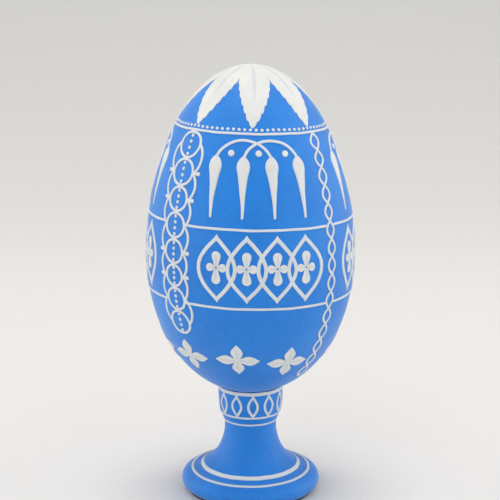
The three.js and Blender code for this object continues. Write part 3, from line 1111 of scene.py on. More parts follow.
@dataclass(frozen=True)
class Crown:
    """Eight leaves that run down from the tip.

    Attributes:
        leaves: How many leaves there are.
        turn: The azimuth of the first leaf's point, in degrees.
        spread: How far the leaves at the sides stand apart from even spacing.
        twist: How far the leaves turn to the right from their points to where they part.
        tip: The way to the leaves' points, as a share of the egg's.
        valley: The way to where two leaves part.
        bend: How hollow their sides are.
        blunt: How far their points are rounded off, as a share of half a leaf.
        teeth: How many teeth each side has.
        tooth: How far a tooth stands out along the way.
        vein: Half the width of a leaf's vein.
        vein_depth: How deep it is pressed.
        vein_ends: The ways between which it runs.
        vein_fade: How softly it starts and ends.
        rise: How far the leaves stand proud.
        soft_edge: How quickly they reach that height from their edge.
        per_leaf: How finely a leaf is cut across.
        rings: How finely it is cut from the edge to the tip of the egg.
        crowding: How far the rings crowd towards the edge.
        backing: How far the crown's wall reaches inwards.
    """

    leaves: int = 8
    turn: float = 1.4
    spread: float = 2.2
    twist: float = 4.2
    tip: float = 0.2175
    valley: float = 0.085
    bend: float = 0.96
    blunt: float = 0.045
    teeth: int = 7
    tooth: float = 1.15 * MM
    vein: float = 0.55 * MM
    vein_depth: float = 0.09 * MM
    vein_ends: tuple[float, float] = (0.02, 0.165)
    vein_fade: tuple[float, float] = (3 * MM, 8 * MM)
    rise: float = 0.24 * MM
    soft_edge: float = 0.1 * MM
    per_leaf: int = 56
    rings: int = 30
    crowding: float = 1.8
    backing: float = 0.14 * MM

    def edge(self, angle: np.ndarray, length: float) -> np.ndarray:
        """The way to the crown's edge at each angle from a leaf's middle, in radians.

        Args:
            angle: The angles.
            length: The egg's whole way.

        Returns:
            The way at each angle.
        """
        half = math.pi / self.leaves
        off = np.abs((angle + half) % (2 * half) - half) / half
        teeth = self.tooth * np.abs(np.sin(math.pi * self.teeth * off)) * np.clip(4 * off, 0, 1)
        rounded = np.hypot(off, self.blunt) - self.blunt * (1 - off)
        return length * (self.tip - (self.tip - self.valley) * rounded**self.bend) + teeth

    def disc(self) -> Mesh:
        """A flat disc of rings round a middle point, one metre in radius.

        Returns:
            The disc.
        """
        start_fresh()
        around = self.leaves * self.per_leaf
        bpy.ops.mesh.primitive_circle_add(vertices=around, radius=1, fill_type="NOTHING", location=(0, 0, 0))
        disc = bpy.context.active_object
        edit(disc)
        for k in range(1, self.rings):
            size = (self.rings - k) / (self.rings - k + 1)
            bpy.ops.mesh.extrude_region_move(TRANSFORM_OT_translate={"value": (0, 0, 0)})
            bpy.ops.transform.resize(value=(size, size, 1), center_override=(0, 0, 0))
        bpy.ops.mesh.extrude_region_move(TRANSFORM_OT_translate={"value": (0, 0, 0)})
        bpy.ops.mesh.merge(type="CENTER")
        bpy.ops.object.mode_set(mode="OBJECT")
        return disc

    def model(self, ground: RoundGround) -> Mesh:
        """Models the crown: the disc, drawn out into leaves, laid over the tip and backed.

        Args:
            ground: The egg's surface.

        Returns:
            The crown as one closed piece.
        """
        disc = self.disc()
        x, y, _ = corners(disc).T
        angle = np.arctan2(y, x)
        inward = np.clip(1 - np.hypot(x, y), 0, 1) ** self.crowding
        edge = self.edge(angle, ground.length)
        way = edge * (1 - inward)
        step = 2 * math.pi / self.leaves
        off = ((angle + step / 2) % step - step / 2) * ground.radius_at(way)
        begin, end = (share * ground.length for share in self.vein_ends)
        fade = np.minimum((way - begin) / self.vein_fade[0], (end - way) / self.vein_fade[1])
        vein = np.clip(fade, 0, 1) * np.exp(-((off / self.vein) ** 2))
        lift = self.rise * (1 - np.exp(-edge * inward / self.soft_edge)) - self.vein_depth * vein
        gone = (way / ground.length - self.valley) / (self.tip - self.valley)
        azimuth = angle + math.radians(self.turn) + math.radians(self.twist) * np.clip(1 - gone, 0, 1.6)
        azimuth = azimuth + math.radians(self.spread) * np.sin(azimuth)
        set_corners(disc, ground.place(azimuth, way, lift))
        paint_mask(disc, "vein", vein)
        paint_mask(disc, "cover", np.clip(lift / self.rise, 0, 1))
        edit(disc)
        bpy.ops.mesh.normals_make_consistent(inside=False)
        bpy.ops.object.mode_set(mode="OBJECT")
        if np.mean([p.normal.z for p in disc.data.polygons]) < 0:
            edit(disc)
            bpy.ops.mesh.flip_normals()
            bpy.ops.object.mode_set(mode="OBJECT")
        apply_modifier(disc, "SOLIDIFY", thickness=self.backing, offset=-1.0, use_rim=True)
        return disc


@dataclass(frozen=True)
class Chain:
    """A strip of round links with scalloped sides, beads and a line of dots.

    Attributes:
        azimuths: Where each strip hangs.
        top: The way to its top, as a share of the egg's.
        bottom: The way to its lower end.
        sizes: How large each link is beside the others.
        drift: How far it has strayed to the right at its lower end.
        half: Half the width of its lines.
        overlap: How far each link reaches over its neighbours, as a share of its size.
        bulge: How round the scallops are, in halves of a link.
        scallop_end: How far each end of a scallop runs past the middle of a link.
        beaded: Which links have beads.
        bead_reach: How far a bead sticks out of a link.
        bead_half: Half of a bead's width.
        dots_per_link: How many dots each link has.
        dot_pitch: From dot to dot, as a share of a link.
        dot: A dot's width.
    """

    azimuths: tuple[float, float] = (-45.2, 134.3)
    top: float = 0.2335
    bottom: float = 0.6995
    sizes: tuple[float, ...] = (1.08, 1.08, 0.99, 1.01, 0.98, 0.9, 0.95, 1.01)
    drift: float = 1.2 * MM
    half: float = 0.44 * MM
    overlap: float = 1.03
    bulge: float = 1.42
    scallop_end: float = 0.45 * MM
    beaded: tuple[int, ...] = (1, 2, 4, 5)
    bead_reach: float = 2.85 * MM
    bead_half: float = 0.74 * MM
    dots_per_link: int = 4
    dot_pitch: float = 0.226
    dot: float = 1.12 * MM

    def meetings(self, ground: RoundGround) -> np.ndarray:
        """How far below the top each link begins, and where the last one ends."""
        shares = np.concatenate([[0.0], np.cumsum(self.sizes)]) / sum(self.sizes)
        return shares * (self.bottom - self.top) * ground.length

    def aside(self, down: float, ground: RoundGround) -> float:
        """How far the strip has strayed to the right at that distance below its top."""
        return self.drift * (down / self.meetings(ground)[-1]) ** 2

    def strip(self, hand: Hand) -> Mesh:
        """The links and the scallops, drawn flat with the top of the first link at the origin.

        Args:
            hand: The hand that will lay it.

        Returns:
            The flat drawing.
        """
        meetings = self.meetings(hand.ground)
        strokes = []
        for begin, end in zip(meetings, meetings[1:]):
            radius = self.overlap * (end - begin) / 2 - self.half
            middle = (begin + end) / 2
            ring = arc((self.aside(middle, hand.ground), -middle), (radius, radius), 90, 450, 48)[:-1]
            strokes.append(Stroke(ring, self.half, closed=True))
        for above, meeting, below in zip(meetings, meetings[1:], meetings[2:]):
            pitch = (below - above) / 2
            bulge = self.bulge * pitch / 2
            reach = math.degrees(math.asin((pitch / 2 + self.scallop_end) / bulge))
            for turn in (0, 180):
                middle = (self.aside(meeting, hand.ground), -meeting)
                strokes.append(Stroke(arc(middle, (bulge, bulge), turn + reach, turn - reach, 30), self.half))
        return hand.slip.model(strokes)

    def beads(self, hand: Hand) -> Mesh:
        """Small drops that point away from the links at both sides.

        Args:
            hand: The hand that will lay it.

        Returns:
            The flat drawing.
        """
        swell = smooth_through([0, 0.3, 0.62, 0.85, 1], [0.62, 0.6, 0.88, 1, 1])
        meetings = self.meetings(hand.ground)
        strokes = []
        for i in self.beaded:
            middle = (meetings[i] + meetings[i + 1]) / 2
            start = self.overlap * (meetings[i + 1] - meetings[i]) / 2 - self.half
            for way in (1, -1):
                ends = np.array([way * start, way * (start + self.bead_reach)])
                ends += self.aside(middle, hand.ground)
                path = np.column_stack([ends, [-middle, -middle]])
                strokes.append(Stroke(path, self.bead_half, swell=swell))
        return hand.slip.model(strokes)

    def dots(self, hand: Hand) -> Mesh:
        """Four dots down the middle of each link.

        Args:
            hand: The hand that will lay it.

        Returns:
            The flat drawing.
        """
        dot = hand.slip.dot(self.dot, 1.1)
        meetings = self.meetings(hand.ground)
        pieces = []
        for begin, end in zip(meetings, meetings[1:]):
            for k in range(self.dots_per_link):
                share = 0.5 + (k - (self.dots_per_link - 1) / 2) * self.dot_pitch
                down = begin + share * (end - begin)
                pieces.append(copy_of(dot, self.aside(down, hand.ground), -down))
        discard(dot)
        return joined(pieces)


@dataclass(frozen=True)
class Braid:
    """Two strands that swing over and under each other.

    Attributes:
        azimuths: Where each braid hangs.
        top: The way to its top, as a share of the egg's.
        bottom: The way to its lower end.
        cells: How many loops it has.
        swing: How far a strand swings aside.
        spread: How much wider it swings at both ends.
        start_aside: How far to the right it starts.
        straight_from: The share of its length at which it has come back.
        half: Half the width of a strand.
        over: How far a strand is lifted where it crosses the other.
    """

    azimuths: tuple[float, float] = (48.0, 228.0)
    top: float = 0.2335
    bottom: float = 0.831
    cells: int = 15
    swing: float = 1.62 * MM
    spread: float = 0.6
    start_aside: float = 1.15 * MM
    straight_from: float = 0.34
    half: float = 0.4 * MM
    over: float = 0.13 * MM

    def strip(self, hand: Hand) -> Mesh:
        """Both strands, drawn flat with their top near the origin. They start a little to the right.

        Args:
            hand: The hand that will lay it.

        Returns:
            The flat drawing.
        """
        length = (self.bottom - self.top) * hand.ground.length
        t = np.linspace(0, 1, 24 * self.cells + 1)
        aside = self.start_aside * np.maximum(1 - t / self.straight_from, 0) ** 2
        swing = self.swing * (1 + self.spread * (t - 0.5) ** 2) * np.sin(t * self.cells * math.pi)
        strands = []
        for way in (1, -1):
            path = np.column_stack([aside + way * swing, -t * length])

            def over(share: np.ndarray, way: int = way) -> np.ndarray:
                """The lift over every other crossing."""
                return self.over * np.maximum(way * np.cos(share * self.cells * math.pi), 0) ** 4

            strands.append(Stroke(path, self.half, over=over))
        return hand.slip.model(strands)


def crosswise(high: float, wide: float) -> list[tuple[np.ndarray, float]]:
    """The four ways up, right, down and left, each with how far something reaches that way."""
    ways = ((0, 1), (1, 0), (0, -1), (-1, 0))
    return [(np.array(way), reach) for way, reach in zip(ways, (high, wide, high, wide))]


@dataclass(frozen=True)
class Panel:
    """Where a panel's motifs stand, in degrees.

    Attributes:
        side: Which panel it is.
        ovals_at: The middle of its row of ovals.
        oval_pitch: From oval to oval.
        oval_half: Half of an oval's width.
        drops_at: The middle of its row of drops.
        drop_pitch: From drop to drop.
        lobes_wide: How far the side lobes of a cross reach.
    """

    side: Side
    ovals_at: float
    oval_pitch: float
    oval_half: float
    drops_at: float
    drop_pitch: float
    lobes_wide: float = 3.3 * MM


@dataclass(frozen=True)
class Motifs:
    """The drawings that fill the panels. Ways are shares of the egg's.

    Attributes:
        per_panel: How many ovals, crosses and drops a panel has.
        oval_top: The way to an oval's upper point.
        oval_bottom: The way to its lower point.
        oval_line: Half the width of its line.
        drop_top: The way to the top of a drop.
        drop_tail: The way to its tail.
        drop_half: Half of its width.
        arch_top: The way to the top of an arch.
        arch_line: Half the width of an arch.
        arch_sink: How far its ends run down into the drops.
        panel_dot: The width of a dot between the drops.
        panel_dot_way: The way to the dots.
        panel_dot_aside: Degrees by which they stand to the right.
        lobes_way: The way to the middle of a cross.
        lobes_tall: How far its upper and lower lobes reach.
        lobe_half: Half of a lobe's width.
        lobe_start: Where a lobe starts, as a share of its reach.
        lobe_vein: Half the width of its vein.
    """

    per_panel: int = 4
    oval_top: float = 0.4612
    oval_bottom: float = 0.5973
    oval_line: float = 0.62 * MM
    drop_top: float = 0.2828
    drop_tail: float = 0.4185
    drop_half: float = 2.06 * MM
    arch_top: float = 0.2455
    arch_line: float = 0.46 * MM
    arch_sink: float = 0.5 * MM
    panel_dot: float = 2.1 * MM
    panel_dot_way: float = 0.2745
    panel_dot_aside: float = 0.8
    lobes_way: float = 0.5268
    lobes_tall: float = 5.3 * MM
    lobe_half: float = 1.5 * MM
    lobe_start: float = 0.06
    lobe_vein: float = 0.34 * MM

    def ovals(self, hand: Hand, panel: Panel) -> Mesh:
        """The four interlaced ovals of a panel.

        Args:
            hand: The hand that lays them.
            panel: Where they go.

        Returns:
            The whole row as one piece.
        """
        height = (self.oval_bottom - self.oval_top) * hand.ground.length
        middle = (self.oval_bottom + self.oval_top) / 2 * hand.ground.length
        half = math.radians(panel.oval_half) * float(hand.ground.radius_at(middle))
        oval = hand.slip.model([pointed_oval(height, half, self.oval_line)])
        row = (panel.ovals_at, panel.oval_pitch, self.per_panel)
        return self._laid(hand, oval, row, self.oval_top)

    def lobes(self, hand: Hand, panel: Panel) -> Mesh:
        """A cross of four round lobes in each oval.

        Args:
            hand: The hand that lays them.
            panel: Where they go.

        Returns:
            The whole row as one piece.
        """
        swell = smooth_through([0, 0.25, 0.6, 0.85, 1], [0.42, 0.6, 0.97, 1, 1])
        strokes = []
        for way, reach in crosswise(self.lobes_tall, panel.lobes_wide):
            path = np.outer([self.lobe_start, 1], way * reach)
            strokes.append(Stroke(path, self.lobe_half, swell=swell, vein=self.lobe_vein))
        row = (panel.ovals_at, panel.oval_pitch, self.per_panel)
        return self._laid(hand, hand.slip.model(strokes), row, self.lobes_way)

    def drops(self, hand: Hand, panel: Panel) -> Mesh:
        """Four hanging drops, and two arches that each run from one drop to the next but one.

        Args:
            hand: The hand that lays them.
            panel: Where they go.

        Returns:
            The whole row as one piece.
        """
        length = (self.drop_tail - self.drop_top) * hand.ground.length
        rise = (self.drop_top - self.arch_top) * hand.ground.length + self.arch_sink
        shape = smooth_through(
            [0, 0.04, 0.1, 0.16, 0.32, 0.49, 0.66, 0.82, 1],
            [0.24, 0.55, 0.88, 1, 0.8, 0.56, 0.39, 0.27, 0.18],
        )
        drop = hand.slip.model([Stroke(np.array([(0, 0.3 * MM), (0, -length)]), self.drop_half, swell=shape)])
        egg_radius = float(hand.ground.radius_at(self.drop_top * hand.ground.length))
        half_span = math.radians(panel.drop_pitch) * egg_radius
        radius = (half_span**2 + rise**2) / (2 * rise)
        reach = math.degrees(math.atan2(half_span, radius - rise))
        bend = arc((0, rise - radius - self.arch_sink), (radius, radius), 90 + reach, 90 - reach, 48)
        arch = hand.slip.model([Stroke(bend, self.arch_line)])
        row = (panel.drops_at, panel.drop_pitch)
        hung = self._laid(hand, drop, (*row, self.per_panel), self.drop_top)
        bows = self._laid(hand, arch, (*row, 2), self.drop_top)
        return joined([hung, bows])

    def panel_dots(self, hand: Hand, panel: Panel) -> Mesh:
        """Three large dots between the drops.

        Args:
            hand: The hand that lays them.
            panel: Where they go.

        Returns:
            The whole row as one piece.
        """
        dot = hand.slip.dot(self.panel_dot)
        middle = panel.drops_at + self.panel_dot_aside
        return self._laid(hand, dot, (middle, panel.drop_pitch, 3), self.panel_dot_way)

    def _laid(self, hand: Hand, template: Mesh, row: tuple[float, float, int], way: float) -> Mesh:
        """Copies a drawing to its places in a panel, and joins the copies.

        Args:
            hand: The hand that lays them.
            template: The drawing, which is used up.
            row: The middle azimuth of the copies, their pitch and their number.
            way: The way to the drawing's origin, as a share.

        Returns:
            All the copies as one piece.
        """
        middle, pitch, count = row
        pieces = [
            hand.lay(copy_of(template), middle + (i - (count - 1) / 2) * pitch, way * hand.ground.length)
            for i in range(count)
        ]
        discard(template)
        return joined(pieces)


@dataclass(frozen=True)
class Flowers:
    """Ten four-petalled flowers round the egg's foot.

    Attributes:
        azimuths: Where each one is laid.
        sinks: How far each one has slipped below the row.
        way: The way to the row, as a share.
        high: How far the upper and lower petals reach.
        wide: How far the side petals reach.
        petal_half: Half of a petal's width.
        vein: Half the width of a petal's vein.
    """

    azimuths: tuple[float, ...] = (-44.6, -8.6, 26.4, 84, 114, 145, 177, 210, 245, 281)
    sinks: tuple[float, ...] = (0.8, 0.1, 1.5, 1.8, 0.5, 0.2, 0.6, 0.3, 0.7, 0.4)
    way: float = 0.7554
    high: float = 6.5 * MM
    wide: float = 7.15 * MM
    petal_half: float = 1.98 * MM
    vein: float = 0.3 * MM

    def template(self, slip: Slip) -> Mesh:
        """One flower, drawn flat round the origin.

        Args:
            slip: How the slip stands on its ground.

        Returns:
            The flat drawing.
        """
        swell = smooth_through([0, 0.2, 0.42, 0.56, 0.78, 0.92, 1], [0.24, 0.58, 0.96, 1, 0.64, 0.25, 0.08])
        strokes = []
        for way, reach in crosswise(self.high, self.wide):
            path = np.outer([0.0, 1], way * reach)
            strokes.append(Stroke(path, self.petal_half, swell=swell, round_ends=False, vein=self.vein))
        return slip.model(strokes)


@dataclass
class Egg:
    """The egg with all its slip work.

    Attributes:
        finishes: The finishes it is dressed with.
        slip: How the slip stands on it.
        crown: The leaves over its tip.
        chain: The wide strips.
        braid: The narrow strips.
        motifs: What fills the panels.
        flowers: The flowers round its foot.
        rows: The way to each line round it, as a share of its own.
        row_half: Half the width of a line.
        dot_row: The way to the ring of dots.
        dots: How many dots the ring has.
        dot: A dot's width.
        lean: How far the rows lean, as a share of its way.
        tremor: How far an unsteady hand strays.
        row_step: The distance between points along a line.
        chain_stop: How far from a chain's middle the lines stop.
        braid_stop: How far from a braid's middle they stop.
        steps_round: How many flats go round it.
        steps_down: How many stretches run from its tip to its foot.
        panels: Its four panels.
    """

    finishes: Finishes
    slip: Slip = Slip()
    crown: Crown = Crown()
    chain: Chain = Chain()
    braid: Braid = Braid()
    motifs: Motifs = Motifs()
    flowers: Flowers = Flowers()
    rows: dict[str, float] = field(
        default_factory=lambda: {"upper": 0.2302, "middle": 0.4419, "lower": 0.6181}
    )
    row_half: float = 0.42 * MM
    dot_row: float = 0.2208
    dots: int = 84
    dot: float = 1.05 * MM
    lean: float = 0.0048
    tremor: float = 0.05 * MM
    row_step: float = 1.2 * MM
    chain_stop: float = 4.1 * MM
    braid_stop: float = 1.6 * MM
    steps_round: int = 144
    steps_down: int = 120
    panels: tuple[Panel, ...] = (
        Panel(Side.FRONT, 6.05, 16.03, 10.0, 4.4, 17.8),
        Panel(Side.RIGHT, 87.3, 13.6, 8.35, 89.05, 14.7, 2.9 * MM),
        Panel(Side.BACK, 185.5, 16.05, 10.0, 184.9, 17.8),
        Panel(Side.LEFT, 270.0, 13.6, 8.35, 266.15, 14.7, 2.9 * MM),
    )

    def __post_init__(self) -> None:
        """Finds the egg's ground from its node's box."""
        low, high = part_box("egg_body")
        self.ground = EggOutline().ground(low.z, high.z, 0.0)
        self.ground.lean = self.lean * self.ground.length
        self.hand = Hand(self.ground, self.slip, self.tremor)

    def build(self) -> None:
        """Builds and dresses every piece of the egg."""
        self.body()
        self.white(self.crown.model(self.ground), "leaf_crown")
        self.row_lines()
        for panel in self.panels:
            self.panel(panel)
        chain, braid = self.chain, self.braid
        self.hang(chain, (("strip", chain.strip, None), ("beads", chain.beads, ()), ("dots", chain.dots, ())))
        self.hang(braid, (("strip", braid.strip, None),))
        flower = self.flowers.template(self.slip)
        for i, (azimuth, sink) in enumerate(zip(self.flowers.azimuths, self.flowers.sinks), 1):
            way = self.flowers.way * self.ground.length + sink * MM
            self.white(self.hand.lay(copy_of(flower), azimuth, way), f"flower_{i}")
        discard(flower)

    def hang(self, kind: Chain | Braid, parts: Iterable[tuple[str, Callable, Sequence[str] | None]]) -> None:
        """Hangs every strip of one kind.

        Args:
            kind: The strip.
            parts: For each of its pieces a name, what draws it, and the nodes it stands for.
        """
        for i, azimuth in enumerate(kind.azimuths, 1):
            for part, draw, nodes in parts:
                drawn = self.hand.lay(draw(self.hand), azimuth, kind.top * self.ground.length)
                self.white(drawn, f"{type(kind).__name__.lower()}_{part}_{i}", nodes)

    def white(self, obj: Mesh, name: str, nodes: Sequence[str] | None = None) -> Mesh:
        """Dresses a piece of slip work, which stands for the node of its name unless others are given."""
        nodes = (name,) if nodes is None else nodes
        return self.finishes.dress(obj, f"{name}_slip", Body.EGG, Slot.WHITE, nodes, 70)

    def body(self) -> None:
        """Turns the egg itself."""
        ground = self.ground
        way = (1 - np.cos(np.linspace(0, math.pi, self.steps_down + 1))) / 2 * ground.length
        way = 0.5 * way + 0.5 * np.linspace(0, ground.length, self.steps_down + 1)
        heights = np.interp(way, ground.way, ground.outline[:, 1])
        outline = np.column_stack([ground.radius_at(way), heights])
        outline[[0, -1], 0] = 0
        egg = turn_on_lathe(outline[::-1], self.steps_round)
        self.finishes.dress(egg, "egg_turned_body", Body.EGG, Slot.BLUE_EGG, ("egg_body",))

    def row_lines(self) -> None:
        """The upper line and its ring of dots, which both run right round."""
        ring = self.hand.line_round(self.rows["upper"] * self.ground.length, self.row_half)
        self.white(ring, "upper_ring_line")
        dot = self.slip.dot(self.dot)
        spots = [
            self.hand.lay(copy_of(dot), i * 360 / self.dots, self.dot_row * self.ground.length)
            for i in range(self.dots)
        ]
        discard(dot)
        self.white(joined(spots), "upper_dot_row", ())

    def flat_line(self, length: float) -> Mesh:
        """A straight row of a given length to the right of the origin."""
        even = replace(self.slip, spacing=self.row_step)
        return even.model([Stroke(np.array([(0.0, 0.0), (length, 0.0)]), self.row_half)])

    def between(self, side: Side) -> tuple[tuple[float, float], tuple[float, float]]:
        """The strips beside a panel: each one's azimuth, and how near its middle the lines stop.

        Args:
            side: The panel.

        Returns:
            The strip on its left and the strip on its right.
        """
        chains = [(azimuth, self.chain_stop) for azimuth in self.chain.azimuths]
        braids = [(azimuth, self.braid_stop) for azimuth in self.braid.azimuths]
        strips = [chains[0], braids[0], chains[1], braids[1], (chains[0][0] + 360, self.chain_stop)]
        first = list(Side).index(side)
        return strips[first], strips[first + 1]

    def panel(self, panel: Panel) -> None:
        """Fills one panel.

        Args:
            panel: The panel.
        """
        ground, side = self.ground, panel.side.value
        first, last = self.between(panel.side)
        for row in ("middle", "lower"):
            way = self.rows[row] * ground.length
            radius = float(ground.radius_at(way))
            begin = first[0] + math.degrees(first[1] / radius)
            end = last[0] - math.degrees(last[1] / radius)
            line = self.hand.lay(self.flat_line(math.radians(end - begin) * radius), begin, way)
            self.white(line, f"{side}_{row}_line")
        self.white(self.motifs.drops(self.hand, panel), f"{side}_drops_and_arches")
        self.white(self.motifs.panel_dots(self.hand, panel), f"{side}_panel_dots", ())
        self.white(self.motifs.ovals(self.hand, panel), f"{side}_ovals")
        self.white(self.motifs.lobes(self.hand, panel), f"{side}_lobed_crosses", ())


# ------------------------------------------------------------------------------------------ the stand


@dataclass
class Stand:
    """The turned pedestal: a foot with a rolled edge, a bell, a neck and a cup.

    Pairs that place a point of its outline are a radius and a height over its underside.

    Attributes:
        finishes: The finishes it is dressed with.
        slip: How the slip stands on it.
        foot_radius: The radius of its foot.
        roll: Half the width and half the height of the foot's rolled edge.
        roll_up: The height of the roll's middle.
        roll_turn: Degrees at which the roll starts and ends.
        step_foot: Where the roll's upper side ends.
        step_hollow: What pulls the foot of the step inwards.
        step_side: The step's side.
        step_crest: What rounds the step off.
        bell_edge: Where the bell starts.
        bell_pull: What hollows the bell.
        neck: Where the bell ends.
        cup_step: Where the neck ends.
        cup_base: Where the cup starts.
        cup_pull: What rounds the cup.
        cup_widest: Where the cup is widest.
        rim_up: The height of the rim.
        rim_slope: How far the rim falls inwards.
        rim_wall: How thick the cup's wall is at the rim.
        rim_round: How far the rim's edges are rounded.
        bowl_radius: The radius of the bowl under the ledge.
        bowl_depth: Its depth under the ledge.
        bowl_corner: How far its corner is rounded.
        lines: The height and half the width of each line round the stand.
        ovals: How many ovals go round the cup.
        oval_turn: The first oval's azimuth.
        oval_ends: The heights of an oval's two points.
        oval_half: Half of an oval's width.
        oval_line: Half the width of its line.
        cup_line: The height and half the width of the line under the ovals.
        tremor: How far an unsteady hand strays.
        steps_round: How many flats go round it.
        seat_width: How wide the cork ring is.
        seat_soft: How far its edges are softened.
        seat_dish: How far its top falls inwards.
        pad_soft: How far the felt pad's edge is rounded.
        ledge_gap: How far the ledge lies under the cork ring.
    """

    finishes: Finishes
    slip: Slip = Slip(rise=0.28 * MM)
    foot_radius: float = 23.75 * MM
    roll: tuple[float, float] = (4.4 * MM, 3.5 * MM)
    roll_up: float = 2.6 * MM
    roll_turn: tuple[float, float] = (-48, 75)
    step_foot: tuple[float, float] = (18.1 * MM, 6.7 * MM)
    step_hollow: tuple[float, float] = (17.2 * MM, 6.95 * MM)
    step_side: tuple[float, float] = (16.9 * MM, 7.3 * MM)
    step_crest: tuple[float, float] = (16.2 * MM, 8.25 * MM)
    bell_edge: tuple[float, float] = (15.3 * MM, 8.75 * MM)
    bell_pull: tuple[float, float] = (10.0 * MM, 11.9 * MM)
    neck: tuple[float, float] = (8.85 * MM, 20.4 * MM)
    cup_step: tuple[float, float] = (8.85 * MM, 23.5 * MM)
    cup_base: tuple[float, float] = (9.3 * MM, 24.3 * MM)
    cup_pull: tuple[float, float] = (10.8 * MM, 27.7 * MM)
    cup_widest: tuple[float, float] = (10.85 * MM, 31.8 * MM)
    rim_up: float = 36.1 * MM
    rim_slope: float = 0.36 * MM
    rim_wall: float = 1.15 * MM
    rim_round: float = 0.25 * MM
    bowl_radius: float = 7.2 * MM
    bowl_depth: float = 6.5 * MM
    bowl_corner: float = 1.6 * MM
    lines: dict[str, tuple[float, float]] = field(
        default_factory=lambda: {
            "rim_line": (35.42 * MM, 0.62 * MM),
            "neck_line": (24.0 * MM, 0.46 * MM),
            "inner_foot_line": (7.72 * MM, 0.74 * MM),
            "outer_foot_line": (6.12 * MM, 0.5 * MM),
        }
    )
    ovals: int = 12
    oval_turn: float = 4.5
    oval_ends: tuple[float, float] = (34.35 * MM, 27.5 * MM)
    oval_half: float = 1.6 * MM
    oval_line: float = 0.42 * MM
    cup_line: tuple[float, float] = (26.8 * MM, 0.38 * MM)
    tremor: float = 0.03 * MM
    steps_round: int = 128
    seat_width: float = 1.6 * MM
    seat_soft: float = 0.18 * MM
    seat_dish: float = 0.55 * MM
    pad_soft: float = 0.35 * MM
    ledge_gap: float = 0.3 * MM

    def __post_init__(self) -> None:
        """Finds the stand's underside and the ledge in its cup."""
        self.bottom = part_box("turned_stand")[0].z
        self.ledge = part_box("cork_seat_ring")[0].z - self.ledge_gap
        self.ground = RoundGround(self.side()[::-1])
        self.hand = Hand(self.ground, self.slip, self.tremor)

    def side(self) -> np.ndarray:
        """The outside, from under the foot up to the rim, as rows of radius and height.

        Returns:
            The rows.
        """
        up = np.array([0, self.bottom])
        centre = (self.foot_radius - self.roll[0], self.roll_up)
        stretches = [
            arc(centre, self.roll, self.roll_turn[0], self.roll_turn[1], 18),
            bow(self.step_foot, self.step_hollow, self.step_side, 5),
            bow(self.step_side, self.step_crest, self.bell_edge, 5)[1:],
            bow(self.bell_edge, self.bell_pull, self.neck, 20)[1:],
            bow(self.cup_step, (self.cup_step[0], self.cup_base[1]), self.cup_base, 4),
            bow(self.cup_base, self.cup_pull, self.cup_widest, 14)[1:],
            bow((self.cup_widest[0], self.rim_up - self.rim_round), (self.cup_widest[0], self.rim_up),
                (self.cup_widest[0] - self.rim_round, self.rim_up), 4),
        ]
        rough = np.vstack(stretches) + up
        fine = [rough[:1]]
        for a, b in zip(rough, rough[1:]):
            count = max(1, round(float(np.hypot(*(b - a))) / (0.5 * MM)))
            fine.append(a + (b - a) * np.linspace(0, 1, count + 1)[1:, None])
        return np.vstack(fine)

    def outline(self) -> np.ndarray:
        """The whole outline, from the axis under the foot, round the rim and into the bowl.

        Returns:
            Rows of radius and height.
        """
        mouth = self.cup_widest[0] - self.rim_wall
        rim = self.bottom + self.rim_up - self.rim_slope
        floor = self.ledge - self.bowl_depth
        corner = bow((self.bowl_radius, floor + self.bowl_corner), (self.bowl_radius, floor),
                     (self.bowl_radius - self.bowl_corner, floor), 6)
        lip = bow((mouth + self.rim_round, rim + 0.05 * MM), (mouth, rim), (mouth, rim - self.rim_round), 3)
        inside = np.vstack([lip, [(mouth, self.ledge), (self.bowl_radius, self.ledge)], corner, [(0, floor)]])
        return np.vstack([[(0, self.bottom)], self.side(), inside])

    def build(self) -> None:
        """Builds and dresses the stand, its slip work, the cork ring and the pad."""
        body = turn_on_lathe(self.outline(), self.steps_round)
        self.finishes.dress(body, "stand_turned_body", Body.STAND, Slot.BLUE_STAND, ("turned_stand",), 38)
        for name, (up, half) in self.lines.items():
            self.white(self.at_height(up, half), name)
        self.oval_band()
        self.cork_ring()
        self.felt_pad()

    def white(self, obj: Mesh, name: str) -> None:
        """Dresses slip work on the stand."""
        self.finishes.dress(obj, f"{name}_slip", Body.STAND, Slot.WHITE, (name,), 70)

    def at_height(self, up: float, half: float) -> Mesh:
        """A line round the stand at a height."""
        return self.hand.line_round(self.ground.way_at_height(self.bottom + up), half)

    def oval_band(self) -> None:
        """Upright ovals on a line round the cup."""
        top, bottom = (self.ground.way_at_height(self.bottom + up) for up in self.oval_ends)
        base = self.at_height(*self.cup_line)
        oval = self.slip.model([pointed_oval(bottom - top, self.oval_half, self.oval_line)])
        azimuths = [self.oval_turn + 360 * i / self.ovals for i in range(self.ovals)]
        pieces = [self.hand.lay(copy_of(oval), azimuth, top) for azimuth in azimuths]
        discard(oval)
        self.white(joined([base, *pieces]), "cup_oval_band")

    def cork_ring(self) -> None:
        """The loose cork ring, cut square with softened edges and dished for the egg."""
        low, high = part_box("cork_seat_ring")
        outer, inner = high.x, high.x - self.seat_width
        soft = self.seat_soft
        dish = high.z - self.seat_dish
        section = np.array([
            (inner + soft, low.z),
            (outer - soft, low.z),
            (outer, low.z + soft),
            (outer, high.z - soft),
            (outer - soft, high.z - soft / 6),
            (inner + soft, dish),
            (inner, dish - soft),
            (inner, low.z + soft),
        ])
        ring = turn_on_lathe(section, 96, closed=True)
        self.finishes.dress(ring, "cork_seat_ring_cut", Body.SEAT, Slot.CORK, ("cork_seat_ring",), 30)

